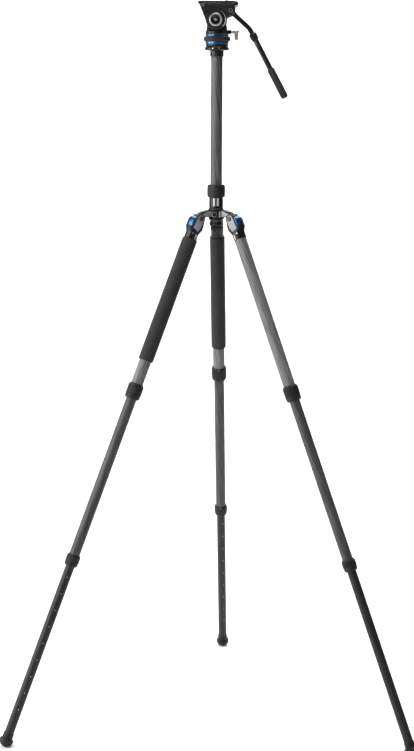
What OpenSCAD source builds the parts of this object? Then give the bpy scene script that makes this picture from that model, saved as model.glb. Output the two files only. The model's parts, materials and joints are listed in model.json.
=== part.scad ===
// Three-legged carbon stand with twist-lock legs, a sliding centre column
// and a fluid pan-and-tilt head with a telescopic steering handle.
// Millimetres. +X is the rear of the head (handle side), +Z is up,
// the floor is z = 0 and the origin is midway between the feet.

/* [Legs] */
// Height of the leg pivots above the floor
pivot_z = 1371; // [1345:1:1380]
// Lean of each leg from the vertical, in degrees
splay = 22.3; // [21:0.1:24]
// Distance of each leg pivot from the column axis
hinge_r = 52; // [48:0.5:54]
// Outer radius of the upper leg tube
upper_r = 16.2; // [16:0.1:16.4]
// Outer radius of the middle leg tube
middle_r = 14.2; // [14:0.1:14.3]
// Outer radius of the lower leg tube
lower_r = 12.3; // [12:0.1:12.4]
// Outer radius of the foam sleeves
foam_r = 20.5; // [18.5:0.5:22]
// Where the foam sleeves end, along the leg from the pivot
foam_end = 404; // [300:1:440]

/* [Column] */
// Outer radius of the centre column tube
column_r = 15.5; // [15:0.1:15.6]
// Length of column that shows when it is fully raised
column_rise = 335; // [200:1:335]
// Radius of the head platform
platform_r = 32.5; // [31:0.5:36]

/* [Head] */
// Radius of the knurled pan drag ring
drag_r = 35.4; // [33:0.1:36]
// Height of the tilt axis above the base of the head
tilt_h = 68; // [67:0.5:70]
// Half length of the quick release plate
plate_l = 50; // [45:1:52]

/* [Handle] */
// Sideways distance of the handle from the head's centre
handle_y = 48; // [47:0.5:52]
// Slope of the handle's upper part below the horizontal, in degrees
slope_1 = 42; // [38:1:46]
// Slope of the handle's lower part below the horizontal, in degrees
slope_2 = 62; // [58:1:66]
// Length of the handle from its bend to its end
handle_len = 204; // [190:1:220]

/* [Hidden] */

$fn = 64;
e = 0.01;
az = [210, 330, 90];              // left, right and back leg
tube_u = 3;                       // tube axis, outward of the pivot
foot_reach = hinge_r + tan(splay) * pivot_z;
col_y = -foot_reach / 4;          // column axis, so the feet are centred
// places along the leg, from the pivot
w_top = 27;
w_sleeve = 60;
w_up_lock = 469;
w_lo_lock = 948;
pad_r = 20;
w_pad = (pivot_z + tube_u * sin(splay) - (pad_r - 1.2)) / cos(splay);
// heights above the leg pivots
z_neck = pivot_z + 55;
z_col = pivot_z + 89;
z_boss = z_col + column_rise;
z_head = z_boss + 26;
tilt_x = -1.7;

// ---------- placing ----------

module at_axis() { translate([0, col_y, 0]) children(); }
module at_arm(a) { at_axis() rotate([0, 0, a]) children(); }
// leg frame: x outward, -z down along the leg, y along the hinge pin
module at_leg(a) {
  at_arm(a) translate([hinge_r, 0, pivot_z]) rotate([0, -splay, 0]) children();
}
module at_tube(a) { at_leg(a) translate([tube_u, 0, 0]) children(); }
module at_head() { translate([0, col_y, z_head]) children(); }
module at_tilt() { at_head() translate([tilt_x, 0, tilt_h]) children(); }
// a tube along the leg between two distances from the pivot
module pipe(w0, w1, ro, ri) {
  translate([0, 0, -w1]) difference() {
    cylinder(h = w1 - w0, r = ro);
    translate([0, 0, -1]) cylinder(h = w1 - w0 + 2, r = ri);
  }
}
// a turned shape from [radius, height] pairs
module turned(p) { rotate_extrude() polygon(p); }
// a turned shape from [radius, distance down the leg] pairs
module turned_down(p) { rotate_extrude() polygon([for (q = p) [q[0], -q[1]]]); }
// a bar along Y between two values of y
module bar_y(x, z, y0, y1, r) {
  translate([x, y1, z]) rotate([90, 0, 0]) cylinder(h = y1 - y0, r = r);
}
// a plate drawn in x and z, between two values of y
module plate_y(y0, y1) {
  translate([0, y1, 0]) rotate([90, 0, 0]) linear_extrude(y1 - y0) children();
}

// ---------- legs ----------

module hinge_casting(a) color("#1b1b1d") at_leg(a) difference() {
  union() {
    // fork with its cheeks, rounded about the tube
    intersection() {
      plate_y(-17, 17) {
        circle(r = 11.5);
        polygon([[-11, 3], [-14.6, -19], [-14.6, -46], [24.6, -46], [31, -30],
                 [32.4, -20], [30.5, -8], [23, 4], [11, 11], [0, 11.4]]);
      }
      translate([tube_u, 0, 0])
        turned_down([[0, -20], [24, -20], [24, 27], [17, 42], [0, 42]]);
    }
    translate([tube_u, 0, 0])
      turned_down([[0, 30], [17.4, 30], [17.4, 58], [16.8, 59], [0, 59]]);
  }
  translate([-40, -10.3, -25]) cube([90, 20.6, 60]);
  // room for the pull tab outside the cheeks
  translate([13, -30, -26.6]) cube([40, 60, 60]);
  translate([tube_u, 0, -w_sleeve - 1]) cylinder(h = w_sleeve + 1 - w_top, r = upper_r);
  bar_y(0, 0, -30, 30, 4.05);
}

module angle_stop(a) color("#3f86bd") at_leg(a) difference() {
  union() {
    plate_y(-9.9, 9.9)
      polygon([[-6, -24.7], [-6, -13.6], [10, -13.6], [15, -7], [15, -24.7]]);
    // rounded pull tab outside the fork
    intersection() {
      translate([13.6, -16.6, -26]) cube([20, 33.2, 30]);
      translate([tube_u, 0, 0])
        turned_down([[0, -1], [14, -1], [19.5, 0.8], [22.4, 5], [23.6, 11],
                     [23.6, 18], [22.8, 26], [0, 26]]);
    }
  }
  bar_y(0, 0, -30, 30, 12.4);
}

module upper_tube(a) color("#3a3b3d") at_tube(a)
  pipe(w_top, w_up_lock + 15, upper_r, upper_r - 1.5);

module foam_grip(a) color("#2b2b2c") at_tube(a) difference() {
  turned_down([[0, w_sleeve - 1], [foam_r - 0.8, w_sleeve - 1],
               [foam_r, w_sleeve + 1], [foam_r, foam_end - 2],
               [foam_r - 1.5, foam_end], [0, foam_end]]);
  translate([0, 0, -foam_end - 1]) cylinder(h = foam_end, r = upper_r);
}

module leg_lock(a, w, len, big, small, out)
  color("#161617") at_tube(a) turned_down([
    [big + 0.1, w], [out - 2.2, w], [out - 0.5, w + 2], [out, w + 5],
    [out, w + len - 10], [out - 1.2, w + len - 8], [out - 1.2, w + len - 3],
    [out - 2.4, w + len], [small + 0.3, w + len], [small + 0.3, w + 16],
    [big + 0.1, w + 16]]);

module middle_tube(a) color("#353638") at_tube(a) {
  difference() {
    union() {
      pipe(w_up_lock - 6, w_lo_lock + 11, middle_r, middle_r - 1.4);
      pipe(w_up_lock - 6, w_up_lock + 13, upper_r - 1.55, middle_r - 1);
    }
  }
}

module lower_tube(a) color("#303133") at_tube(a) {
  union() {
    pipe(w_lo_lock - 16, w_pad - 5, lower_r, lower_r - 1.5);
    pipe(w_lo_lock - 16, w_lo_lock + 8, middle_r - 1.45, lower_r - 1);
  }
}

module foot_sleeve(a) color("#1b1b1d") at_tube(a) difference() {
  turned_down([[0, w_pad - 19], [12.8, w_pad - 19], [14, w_pad - 17.5],
               [14, w_pad - 4], [0, w_pad - 4]]);
  translate([0, 0, -w_pad + 4 - 1]) cylinder(h = 30, r = lower_r);
}

module foot_pad(a) color("#131313") intersection() {
  at_tube(a) intersection() {
    translate([0, 0, -w_pad]) rotate([90, 0, 0]) sphere(r = pad_r);
    translate([0, 0, -w_pad - 30]) cylinder(h = 34, r = 18.5);
  }
  translate([-2000, -2000, 0]) cube([4000, 4000, 400]);
}

module leg_pivot_bolts() color("silver") for (a = az) at_arm(a) {
  bar_y(hinge_r, pivot_z, -17.2, 17.2, 4);
  for (s = [-1, 1]) translate([hinge_r, s * 17.15, pivot_z])
    rotate([s * -90, 0, 0]) difference() {
      turned([[0, 0], [7, 0], [7, 1.8], [6, 2.8], [0, 2.8]]);
      translate([0, 0, 1.2]) cylinder(h = 3, r = 3, $fn = 6);
    }
}

// ---------- shoulder and column ----------

module shoulder() color("#202022") difference() {
  union() {
    at_axis() turned([[0, pivot_z - 5], [18, pivot_z - 5], [19.5, pivot_z - 3],
      [19.5, pivot_z + 18], [21, pivot_z + 20], [21, pivot_z + 24],
      [18.7, pivot_z + 27], [18.7, z_neck], [18.2, z_neck],
      [18.2, pivot_z + 77], [0, pivot_z + 77]]);
    for (a = az) at_arm(a) plate_y(-10, 10) translate([0, pivot_z]) {
      translate([hinge_r, 0]) circle(r = 11.5);
      polygon([[10, 3], [10, 23], [28, 22.5], [43, 15.5],
               [hinge_r + 5.4, 10], [hinge_r, 0], [hinge_r - 8, -8], [36, 3]]);
    }
    // boss on the front of the hub, between two lugs
    at_axis() translate([-9, -22.5, pivot_z + 1]) cube([22, 10, 18]);
  }
  at_axis() translate([0, 0, pivot_z - 10]) cylinder(h = 100, r = column_r + 1.1);
  for (a = az) at_arm(a) bar_y(hinge_r, pivot_z, -20, 20, 4);
  // pockets for the two screws in the rim
  for (x = [-8.5, 8.5]) at_axis()
    translate([x, -sqrt(19 * 19 - x * x), pivot_z + 22.6]) cylinder(h = 7, r = 1.95);
}

module shoulder_screws() color("silver") for (x = [-8.5, 8.5])
  at_axis() translate([x, -sqrt(19 * 19 - x * x), pivot_z + 22.6])
    cylinder(h = 2, r = 1.85);

module column_bushing() color("#d8d6d0") at_axis() translate([0, 0, pivot_z])
  difference() {
    cylinder(h = 74, r = column_r + 1.1);
    translate([0, 0, -1]) cylinder(h = 80, r = column_r + 0.05);
  }

module column_lock_collar() color("#1c1c1d") at_axis() turned([
  [18.3, z_neck + 0.3], [21.8, z_neck + 0.3], [23.4, z_neck + 3],
  [24, z_neck + 14], [24, z_neck + 24], [23.5, z_neck + 31],
  [22, z_col], [column_r + 0.3, z_col], [column_r + 0.3, z_neck + 23],
  [18.3, z_neck + 23]]);

module column_tube() color("#454648") at_axis()
  translate([0, 0, pivot_z - 11]) difference() {
    cylinder(h = z_head - 12 - pivot_z + 11, r = column_r);
    translate([0, 0, -1]) cylinder(h = 600, r = column_r - 1.5);
  }

module column_end_stop() color("#1b1b1d") at_axis()
  turned([[0, pivot_z - 21], [15.5, pivot_z - 21], [17.5, pivot_z - 19],
          [17.5, pivot_z - 11], [column_r - 1.5, pivot_z - 11],
          [column_r - 1.5, pivot_z + 6], [0, pivot_z + 6]]);

module column_platform() color("#18181a") at_head() difference() {
  turned([[0, -26], [17, -26], [18, -25], [18, -11], [20, -10],
          [platform_r - 2, -10], [platform_r, -8], [platform_r, -3],
          [platform_r - 3, 0], [0, 0]]);
  translate([0, 0, -27]) cylinder(h = 15, r = column_r);
  translate([0, 0, -13]) cylinder(h = 20, r = 4.76);
  for (a = [-107, 13, 133, -78, 42, 162]) rotate([0, 0, a])
    translate([platform_r - 5, 0, -5.5]) rotate([0, 90, 0]) cylinder(h = 10, r = 1.7);
}

module platform_screws() color("silver") at_head()
  for (a = [-107, 13, 133, -78, 42, 162]) rotate([0, 0, a])
    translate([platform_r - 5, 0, -5.5]) rotate([0, 90, 0]) cylinder(h = 4.7, r = 1.7);

module head_stud() color("silver") at_head()
  translate([0, 0, -12]) cylinder(h = 22, r = 4.76);

// ---------- head: base and pan ----------

module head_base() color("#141415") at_head() difference() {
  turned([[0, 0], [28.5, 0], [29.5, 1], [29.5, 5.5], [20, 5.5], [20, 26],
          [12, 26], [12, 34], [0, 34]]);
  translate([0, 0, -1]) cylinder(h = 11, r = 4.76);
}

module lower_trim_ring() color("#2f6c9e") at_head()
  turned([[20, 5.5], [30.3, 5.5], [31, 6.4], [31, 12.2], [30.4, 13], [20, 13]]);

module pan_drag_ring() color("#1a1a1b") at_head()
  turned([[20.08, 13.3], [33.6, 13.3], [drag_r, 15], [drag_r, 24],
          [33.6, 25.7], [20.08, 25.7]]);

module pan_housing() color("#1d1d1f") at_head() difference() {
  union() {
    turned([[0, 26.3], [24, 26.3], [24, 31.7], [30.5, 31.7], [30.5, 38],
            [29.3, 40], [0, 40]]);
    intersection() {
      plate_y(-22, 22) {
        polygon([[-28.4, 37], [-26, 50], [-25.6, tilt_h], [22.2, tilt_h], [26, 50], [28.4, 37]]);
        translate([tilt_x, tilt_h]) circle(r = 24);
      }
      translate([0, 0, 37]) cylinder(h = 70, r = 30.1);
    }
    // boss for the pan lock
    translate([20, 0, 37.6]) rotate([0, 90, 0])
      turned([[0, 0], [5.4, 0], [5.4, 16.7], [4.8, 17.7], [0, 17.7]]);
  }
  translate([0, 0, 20]) cylinder(h = 15, r = 12.08);
  translate([tilt_x, 0, tilt_h]) {
    bar_y(0, 0, -40, 40, 6.05);
    bar_y(0, 0, -14, 40, 18);
  }
  translate([30, 0, 37.6]) rotate([0, 90, 0]) cylinder(h = 20, r = 3.05);
}

module upper_trim_ring() color("#3b82b8") at_head()
  turned([[24, 26.3], [30.4, 26.3], [31, 27], [31, 30.8], [30.2, 31.7], [24, 31.7]]);

module pan_lock_lever() color("#b3aca2") at_head() {
  translate([31, 0, 37.6]) rotate([0, 90, 0]) cylinder(h = 16, r = 3);
  translate([42, 0, 37.6]) rotate([0, 90, 0]) cylinder(h = 3.2, r = 4.6);
  translate([50.5, 0, 0]) {
    translate([-5.5, -4.2, 17]) cube([11, 8.4, 20]);
    translate([0, 0, 36]) turned([[0, 0], [6.4, 0], [7.5, 1.4], [7.2, 4.6], [5.5, 6], [0, 6]]);
  }
}

// ---------- head: tilt ----------

module tilt_axle() color("silver") at_tilt() bar_y(0, 0, -31, 31, 6);

module tilt_drag_drum() color("#8c8c8f") at_tilt() difference() {
  bar_y(0, 0, 1, 21.6, 17.6);
  bar_y(0, 0, -5, 30, 6);
}

// torsion spring around the axle, swept along its coil
function coil(t) = [11.6 * cos(t * 360), -13.6 + 3.2 * t, 11.6 * sin(t * 360)];
module counterbalance_spring() color("#a7a9ac") at_tilt() {
  turns = 3.6; n = 58; k = 8; r = 1.35;
  pts = [for (i = [0 : n]) let (t = 0.25 + turns * i / n, c = coil(t),
           o = [cos(t * 360), 0, sin(t * 360)])
         for (j = [0 : k - 1]) c + r * (cos(j * 360 / k) * o + sin(j * 360 / k) * [0, 1, 0])];
  faces = concat(
    [[for (j = [0 : k - 1]) j]],
    [for (i = [0 : n - 1]) for (j = [0 : k - 1]) let (b = i * k, c = (j + 1) % k)
      [b + j, b + k + j, b + k + c, b + c]],
    [[for (j = [k - 1 : -1 : 0]) n * k + j]]);
  polyhedron(points = pts, faces = faces, convexity = 6);
}

module tilt_cradle() color("#222224") at_head() difference() {
  union() {
    for (s = [0, 1]) mirror([0, s, 0]) {
      plate_y(24.5, 32) {
        polygon([[-44.4, 110], [-43.6, 104], [tilt_x - 23.7, tilt_h - 10.3],
                 [tilt_x, tilt_h - 20], [26.8, tilt_h + 7], [43, tilt_h + 13.6],
                 [47.5, tilt_h + 29], [47.5, 110]]);
        translate([tilt_x, tilt_h]) circle(r = 26.8);
      }
      bar_y(tilt_x, tilt_h, 22.3, 25, 12);
    }
    translate([-44.4, -32, 104]) cube([91.9, 64, 6]);
    // rails that hold the plate
    for (s = [0, 1]) mirror([0, s, 0])
      translate([-40, 0, 0]) rotate([90, 0, 90]) linear_extrude(84)
        polygon([[22.4, 109.9], [30, 109.9], [29.2, 113.8], [19.8, 113.8]]);
    // ear for the plate lock
    translate([43, -31.5, 105]) cube([13, 5.2, 8.4]);
    // rosette seats
    bar_y(37.2, 91.4, 31.9, 36, 9.5);
    bar_y(37.2, 91.4, -33.4, -31.9, 7.6);
  }
  translate([tilt_x, 0, tilt_h]) bar_y(0, 0, -40, 31, 6);
  // curved recess over the round side
  for (s = [0, 1]) mirror([0, s, 0]) intersection() {
    difference() {
      bar_y(tilt_x, tilt_h, 29.6, 33, 33.5);
      bar_y(tilt_x, tilt_h, 29, 34, 27.6);
    }
    translate([-40, 20, tilt_h - 4]) cube([60, 20, 40]);
  }
  bar_y(37.2, 91.4, 26, 37, 4);
  bar_y(37.2, 91.4, -34, -26, 3.2);
  bar_y(-35.2, 105.5, -33, -26, 2.6);
  translate([52.5, -28.9, 104]) cylinder(h = 3.3, r = 2.85);
  bar_y(51.5, 109.4, -32, -26, 2.05);
}

module cradle_bolts() color("silver") at_head() {
  // front socket bolt
  bar_y(-35.2, 105.5, -32, -26.5, 2.6);
  difference() { bar_y(-35.2, 105.5, -34.4, -32, 4.6); bar_y(-35.2, 105.5, -36, -33, 2.2, $fn = 6); }
  // bolt of the near rosette
  bar_y(37.2, 91.4, -33.4, -26.5, 3.2);
  difference() { bar_y(37.2, 91.4, -36, -33.4, 5.4); bar_y(37.2, 91.4, -38, -34.6, 2.7, $fn = 6); }
  // handle bolt
  bar_y(37.2, 91.4, 26.5, handle_y + 8.7, 4);
  difference() {
    bar_y(37.2, 91.4, handle_y + 8.4, handle_y + 12, 7.5);
    bar_y(37.2, 91.4, handle_y + 10, handle_y + 13, 3.4, $fn = 6);
  }
}

module tilt_drag_knob() color("#c4c4c6") at_tilt() translate([0, -32.2, 0])
  rotate([90, 0, 0]) difference() {
    turned([[0, 0], [16.6, 0], [16.9, 0.4], [16.9, 7], [15.6, 8.6], [13.2, 8.6],
            [12.4, 7], [10, 5.2], [0, 5.2]]);
    for (i = [0 : 11]) rotate([0, 0, i * 30]) translate([17.6, 0, 1.5])
      cylinder(h = 4.5, r = 1.1);
  }

// half-plane wedge that keeps the part of a ring between two angles
module wedge(a0, a1, r) intersection() {
  rotate([0, 0, a0]) translate([0, 0]) square([r, r]);
  rotate([0, 0, a1 - 90]) translate([0, 0]) square([r, r]);
}
module tilt_lock_lever() color("silver") at_tilt() plate_y(-35.4, -32.4) {
  difference() { circle(r = 19.6); circle(r = 17.3); }
  difference() {
    intersection() {
      circle(r = 26.4);
      union() {
        rotate([0, 0, -42]) square([30, 30]);
        rotate([0, 0, -32]) square([30, 30]);
      }
    }
    circle(r = 23.4);
  }
  rotate([0, 0, 8]) translate([18.6, -3]) square([6, 6]);
}

// ---------- head: plate ----------

module quick_release_plate() color("#1f1f21") at_head() difference() {
  union() {
    translate([-plate_l + 0.7, 0, 0]) rotate([90, 0, 90]) linear_extrude(2 * plate_l - 2)
      polygon([[-21.6, 110.2], [21.6, 110.2], [19.3, 113.8], [19.3, 114.1],
               [26, 114.1], [26, 116.4], [25.4, 117], [-25.4, 117],
               [-26, 116.4], [-26, 114.1], [-19.3, 114.1], [-19.3, 113.8]]);
    // front lip
    translate([-plate_l + 0.7, -24, 110.6]) cube([4, 48, 5]);
  }
  // slot for the camera screw, and the room for its head below
  for (x = [6, 40]) translate([x, 0, 100]) cylinder(h = 30, r = 3.4);
  translate([6, -3.4, 100]) cube([34, 6.8, 30]);
  for (x = [6, 40]) translate([x, 0, 100]) cylinder(h = 13.6, r = 8.4);
  translate([6, -8.4, 100]) cube([34, 16.8, 13.6]);
}

module camera_screw() color("silver") at_head() translate([25, 0, 0]) difference() {
  turned([[0, 110.6], [7.4, 110.6], [7.9, 111.1], [7.9, 113.1], [3, 113.1],
          [3, 117.4], [3.175, 117.4], [3.175, 122], [2.7, 122.5], [0, 122.5]]);
  translate([-0.8, -10, 109]) cube([1.6, 20, 2.8]);
}

module plate_lock_knob() color("#1a1a1b") at_head() {
  bar_y(51.5, 109.4, -32.4, -26.4, 2);
  bar_y(51.5, 109.4, -38.5, -32.3, 5.6);
}

module plate_release_button() color("#8d9093") at_head()
  translate([52.5, -28.9, 99.8]) cylinder(h = 5.4, r = 2.8);

// ---------- handle ----------

module at_bend() {
  at_head() translate([84.9, handle_y, 91.4 - (84.9 - 37.2) * tan(slope_1)])
    rotate([0, 90 + slope_2, 0]) children();
}
module handle_bar() color("#1c1c1e") difference() {
  union() {
    at_head() {
      bar_y(37.2, 91.4, 36.15, handle_y + 8.2, 9.5);
      translate([37.2, handle_y, 91.4]) rotate([0, 90 + slope_1, 0])
        cylinder(h = (84.9 - 37.2) / cos(slope_1), r = 6.5);
    }
    at_bend() { sphere(r = 6.5); cylinder(h = 122, r = 6.5); }
  }
  at_head() bar_y(37.2, 91.4, 30, handle_y + 20, 4.05);
}
module handle_lock_collar() color("#161617") at_bend() turned([
  [6.8, 13], [8.8, 13], [10.2, 15], [10.35, 18], [10.35, 29], [9.6, 31],
  [9.6, 33], [8.7, 34.1], [7.5, 34.1], [7.5, 18], [6.8, 18]]);
module handle_tube() color("#1f1f21") at_bend() translate([0, 0, 18.3]) difference() {
  cylinder(h = handle_len - 22.3, r = 7.4);
  translate([0, 0, -1]) cylinder(h = handle_len, r = 6.56);
}
module handle_grip() color("#272728") at_bend() difference() {
  turned([[0, 117], [8.6, 117], [10, 121], [10, handle_len - 8],
          [9.4, handle_len - 3], [7.5, handle_len], [0, handle_len]]);
  translate([0, 0, 110]) cylinder(h = handle_len - 114, r = 7.4);
}

// ---------- assembly ----------

shoulder();
shoulder_screws();
leg_pivot_bolts();
column_bushing();
column_lock_collar();
column_tube();
column_end_stop();
column_platform();
platform_screws();
head_stud();

hinge_casting(az[0]);  // left_hinge_casting
angle_stop(az[0]);  // left_angle_stop
upper_tube(az[0]);  // left_upper_tube
foam_grip(az[0]);  // left_foam_grip
leg_lock(az[0], w_up_lock, 42, upper_r, middle_r, 21);  // left_upper_lock
middle_tube(az[0]);  // left_middle_tube
leg_lock(az[0], w_lo_lock, 32, middle_r, lower_r, 18.7);  // left_lower_lock
lower_tube(az[0]);  // left_lower_tube
foot_sleeve(az[0]);  // left_foot_sleeve
foot_pad(az[0]);  // left_foot_pad

hinge_casting(az[1]);  // right_hinge_casting
angle_stop(az[1]);  // right_angle_stop
upper_tube(az[1]);  // right_upper_tube
leg_lock(az[1], w_up_lock, 42, upper_r, middle_r, 21);  // right_upper_lock
middle_tube(az[1]);  // right_middle_tube
leg_lock(az[1], w_lo_lock, 32, middle_r, lower_r, 18.7);  // right_lower_lock
lower_tube(az[1]);  // right_lower_tube
foot_sleeve(az[1]);  // right_foot_sleeve
foot_pad(az[1]);  // right_foot_pad

hinge_casting(az[2]);  // back_hinge_casting
angle_stop(az[2]);  // back_angle_stop
upper_tube(az[2]);  // back_upper_tube
foam_grip(az[2]);  // back_foam_grip
leg_lock(az[2], w_up_lock, 42, upper_r, middle_r, 21);  // back_upper_lock
middle_tube(az[2]);  // back_middle_tube
leg_lock(az[2], w_lo_lock, 32, middle_r, lower_r, 18.7);  // back_lower_lock
lower_tube(az[2]);  // back_lower_tube
foot_sleeve(az[2]);  // back_foot_sleeve
foot_pad(az[2]);  // back_foot_pad

head_base();
lower_trim_ring();
pan_drag_ring();
pan_housing();
upper_trim_ring();
pan_lock_lever();
tilt_axle();
tilt_drag_drum();
counterbalance_spring();
tilt_cradle();
cradle_bolts();
tilt_drag_knob();
tilt_lock_lever();
quick_release_plate();
camera_screw();
plate_lock_knob();
plate_release_button();
handle_bar();
handle_lock_collar();
handle_tube();
handle_grip();
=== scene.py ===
"""Looks of the carbon tripod with its fluid head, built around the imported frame. Geometry is in millimetres in each
part's own local frame, and make() turns it into metres at the place that the frame gives."""

import json
import math

import bmesh
import bpy
import numpy as np
from mathutils import Matrix, Vector


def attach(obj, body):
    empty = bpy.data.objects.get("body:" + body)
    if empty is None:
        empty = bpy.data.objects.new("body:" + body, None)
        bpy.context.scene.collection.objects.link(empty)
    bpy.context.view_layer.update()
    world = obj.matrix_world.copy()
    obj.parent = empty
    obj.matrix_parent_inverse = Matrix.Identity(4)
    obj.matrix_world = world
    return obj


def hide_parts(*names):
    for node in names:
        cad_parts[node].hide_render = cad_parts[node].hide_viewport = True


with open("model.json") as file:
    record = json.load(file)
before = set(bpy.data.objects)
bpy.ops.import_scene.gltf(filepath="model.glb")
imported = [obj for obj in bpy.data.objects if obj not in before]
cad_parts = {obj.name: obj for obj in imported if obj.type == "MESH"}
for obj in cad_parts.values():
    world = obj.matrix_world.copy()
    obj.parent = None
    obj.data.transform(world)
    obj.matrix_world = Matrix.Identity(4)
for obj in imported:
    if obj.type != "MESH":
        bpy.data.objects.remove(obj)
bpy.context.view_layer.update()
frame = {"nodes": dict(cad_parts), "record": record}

# ------------------------------------------------------------------ layout (the numbers of the CAD source)
PZ, SPLAY, HR, TU = 1371.0, math.radians(22.3), 52.0, 3.0
Y0 = -(HR + math.tan(SPLAY) * PZ) / 4
ZH = 1821.0
LEGS = (("left", 210), ("right", 330), ("back", 90))
W_PAD = (PZ + TU * math.sin(SPLAY) - 18.8) / math.cos(SPLAY)
TX, TH = -1.7, 68.0
HY = 48.0


def T(x, y, z):
    return Matrix.Translation(Vector((x, y, z)))


def R(deg, axis):
    return Matrix.Rotation(math.radians(deg), 4, axis)


AXIS = T(0, Y0, 0)
HEAD = T(0, Y0, ZH)
TILT = HEAD @ T(TX, 0, TH)


def ARM(az):
    return AXIS @ R(az, "Z")


def LEG(az):
    return ARM(az) @ T(HR, 0, PZ) @ R(-22.3, "Y")


def TUBE(az):
    return LEG(az) @ T(TU, 0, 0)


BEND = HEAD @ T(84.9, HY, 91.4 - (84.9 - 37.2) * math.tan(math.radians(42))) @ R(152, "Y")

# ------------------------------------------------------------------ camera first
cam_data = bpy.data.cameras.new("camera")
cam = bpy.data.objects.new("camera", cam_data)
bpy.context.scene.collection.objects.link(cam)
bpy.context.scene.camera = cam
CX, CY, CZ, PITCH, YAW, ROLL, FPX = 0.21045, -4.70787, 1.61705, 0.1462, 0.0510, 0.0049, 1701.88
fwd0 = Vector((-math.sin(YAW), math.cos(YAW), 0))
right = Vector((math.cos(YAW), math.sin(YAW), 0))
fwd = fwd0 * math.cos(PITCH) - Vector((0, 0, 1)) * math.sin(PITCH)
up = right.cross(fwd)
r2 = right * math.cos(ROLL) + up * math.sin(ROLL)
u2 = up * math.cos(ROLL) - right * math.sin(ROLL)
m = Matrix((r2, u2, -fwd)).transposed().to_4x4()
m.translation = Vector((CX, CY, CZ))
cam.matrix_world = m
cam_data.sensor_fit = "AUTO"
cam_data.sensor_width = 36.0
cam_data.lens = FPX * 36.0 / 751.0
cam_data.clip_start, cam_data.clip_end = 0.05, 60

# ------------------------------------------------------------------ mesh tools


def make(name, verts, faces, M, mat, body, slot, angle=35.0, replaces=(), weighted=False):
    """A piece from vertices in local millimetres, at matrix M, whose translation is in millimetres."""
    me = bpy.data.meshes.new(name)
    v = np.asarray(verts, float) * 0.001
    me.from_pydata(v.tolist(), [], [tuple(int(i) for i in f) for f in faces])
    return finish_mesh(name, me, M, mat, body, angle, replaces, weighted)


def finish_mesh(name, me, M, mat, body, angle=35.0, replaces=(), weighted=False):
    me.update()
    bm = bmesh.new()
    bm.from_mesh(me)
    bmesh.ops.remove_doubles(bm, verts=bm.verts, dist=1e-6)
    bmesh.ops.dissolve_degenerate(bm, edges=bm.edges, dist=1e-6)
    bmesh.ops.recalc_face_normals(bm, faces=bm.faces)
    lim = math.radians(angle)
    for f in bm.faces:
        f.smooth = True
    for e in bm.edges:
        e.smooth = len(e.link_faces) == 2 and e.calc_face_angle(0.0) < lim
    bm.to_mesh(me)
    bm.free()
    me.materials.clear()
    me.materials.append(mat)
    o = bpy.data.objects.new(name, me)
    bpy.context.scene.collection.objects.link(o)
    W = M.copy()
    W.translation = M.translation * 0.001
    o.matrix_world = W
    if weighted:
        w = o.modifiers.new("weighted", "WEIGHTED_NORMAL")
        w.keep_sharp = True
    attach(o, body)
    if replaces:
        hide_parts(*replaces)
    return o


def fillet(pts, closed=True, seg=4):
    """Rounds the corners of a polyline given as (x, y, radius)."""
    out = []
    n = len(pts)
    for i in range(n):
        p = np.array(pts[i][:2], float)
        r = pts[i][2] if len(pts[i]) > 2 else 0.0
        if r <= 0 or (not closed and i in (0, n - 1)):
            out.append(tuple(p))
            continue
        a = np.array(pts[i - 1][:2], float) - p
        b = np.array(pts[(i + 1) % n][:2], float) - p
        la, lb = np.linalg.norm(a), np.linalg.norm(b)
        a, b = a / la, b / lb
        th = math.acos(max(-1, min(1, float(a @ b))))
        if th > math.pi - 0.02:
            out.append(tuple(p))
            continue
        t = min(r / math.tan(th / 2), 0.49 * la, 0.49 * lb)
        rr = t * math.tan(th / 2)
        c = p + (a + b) / np.linalg.norm(a + b) * rr / math.sin(th / 2)
        p0, p1 = p + a * t, p + b * t
        a0 = math.atan2(*(p0 - c)[::-1])
        a1 = math.atan2(*(p1 - c)[::-1])
        d = (a1 - a0 + math.pi) % (2 * math.pi) - math.pi
        for k in range(seg + 1):
            q = a0 + d * k / seg
            out.append((c[0] + rr * math.cos(q), c[1] + rr * math.sin(q)))
    return out


def lathe(profile, n=96, rfun=None, closed=True):
    """Turns (radius, z) points round Z. rfun(theta, r, z, i) may change a radius. A closed profile gives a ring; an
    open one starts and ends on the axis."""
    P = [(float(r), float(z)) for r, z in profile]
    V, F = [], []
    rings = []
    for i, (r, z) in enumerate(P):
        if not closed and i in (0, len(P) - 1) and r < 1e-6:
            rings.append([len(V)])
            V.append((0, 0, z))
            continue
        ring = []
        for k in range(n):
            th = 2 * math.pi * k / n
            rr = r if rfun is None else rfun(th, r, z, i)
            ring.append(len(V))
            V.append((rr * math.cos(th), rr * math.sin(th), z))
        rings.append(ring)
    m_ = len(rings)
    for i in range(m_ if closed else m_ - 1):
        A, B = rings[i], rings[(i + 1) % m_]
        if len(A) == 1 and len(B) == 1:
            continue
        if len(A) == 1:
            F += [(A[0], B[k], B[(k + 1) % n]) for k in range(n)]
        elif len(B) == 1:
            F += [(A[k], B[0], A[(k + 1) % n]) for k in range(n)]
        else:
            F += [(A[k], B[k], B[(k + 1) % n], A[(k + 1) % n]) for k in range(n)]
    return V, F


def area2(P):
    return sum(P[i][0] * P[(i + 1) % len(P)][1] - P[(i + 1) % len(P)][0] * P[i][1] for i in range(len(P)))


def inset(P, d):
    """The outline moved inwards by d, with mitred corners."""
    P = np.array(P, float)
    if area2(P) < 0:
        P = P[::-1]
    n = len(P)
    e = np.roll(P, -1, 0) - P
    e /= np.linalg.norm(e, axis=1)[:, None]
    nn = np.stack([-e[:, 1], e[:, 0]], 1)
    m_ = nn + np.roll(nn, 1, 0)
    k = (m_ * m_).sum(1)
    return P + m_ * (2 * d / np.maximum(k, 0.6))[:, None]


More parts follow.
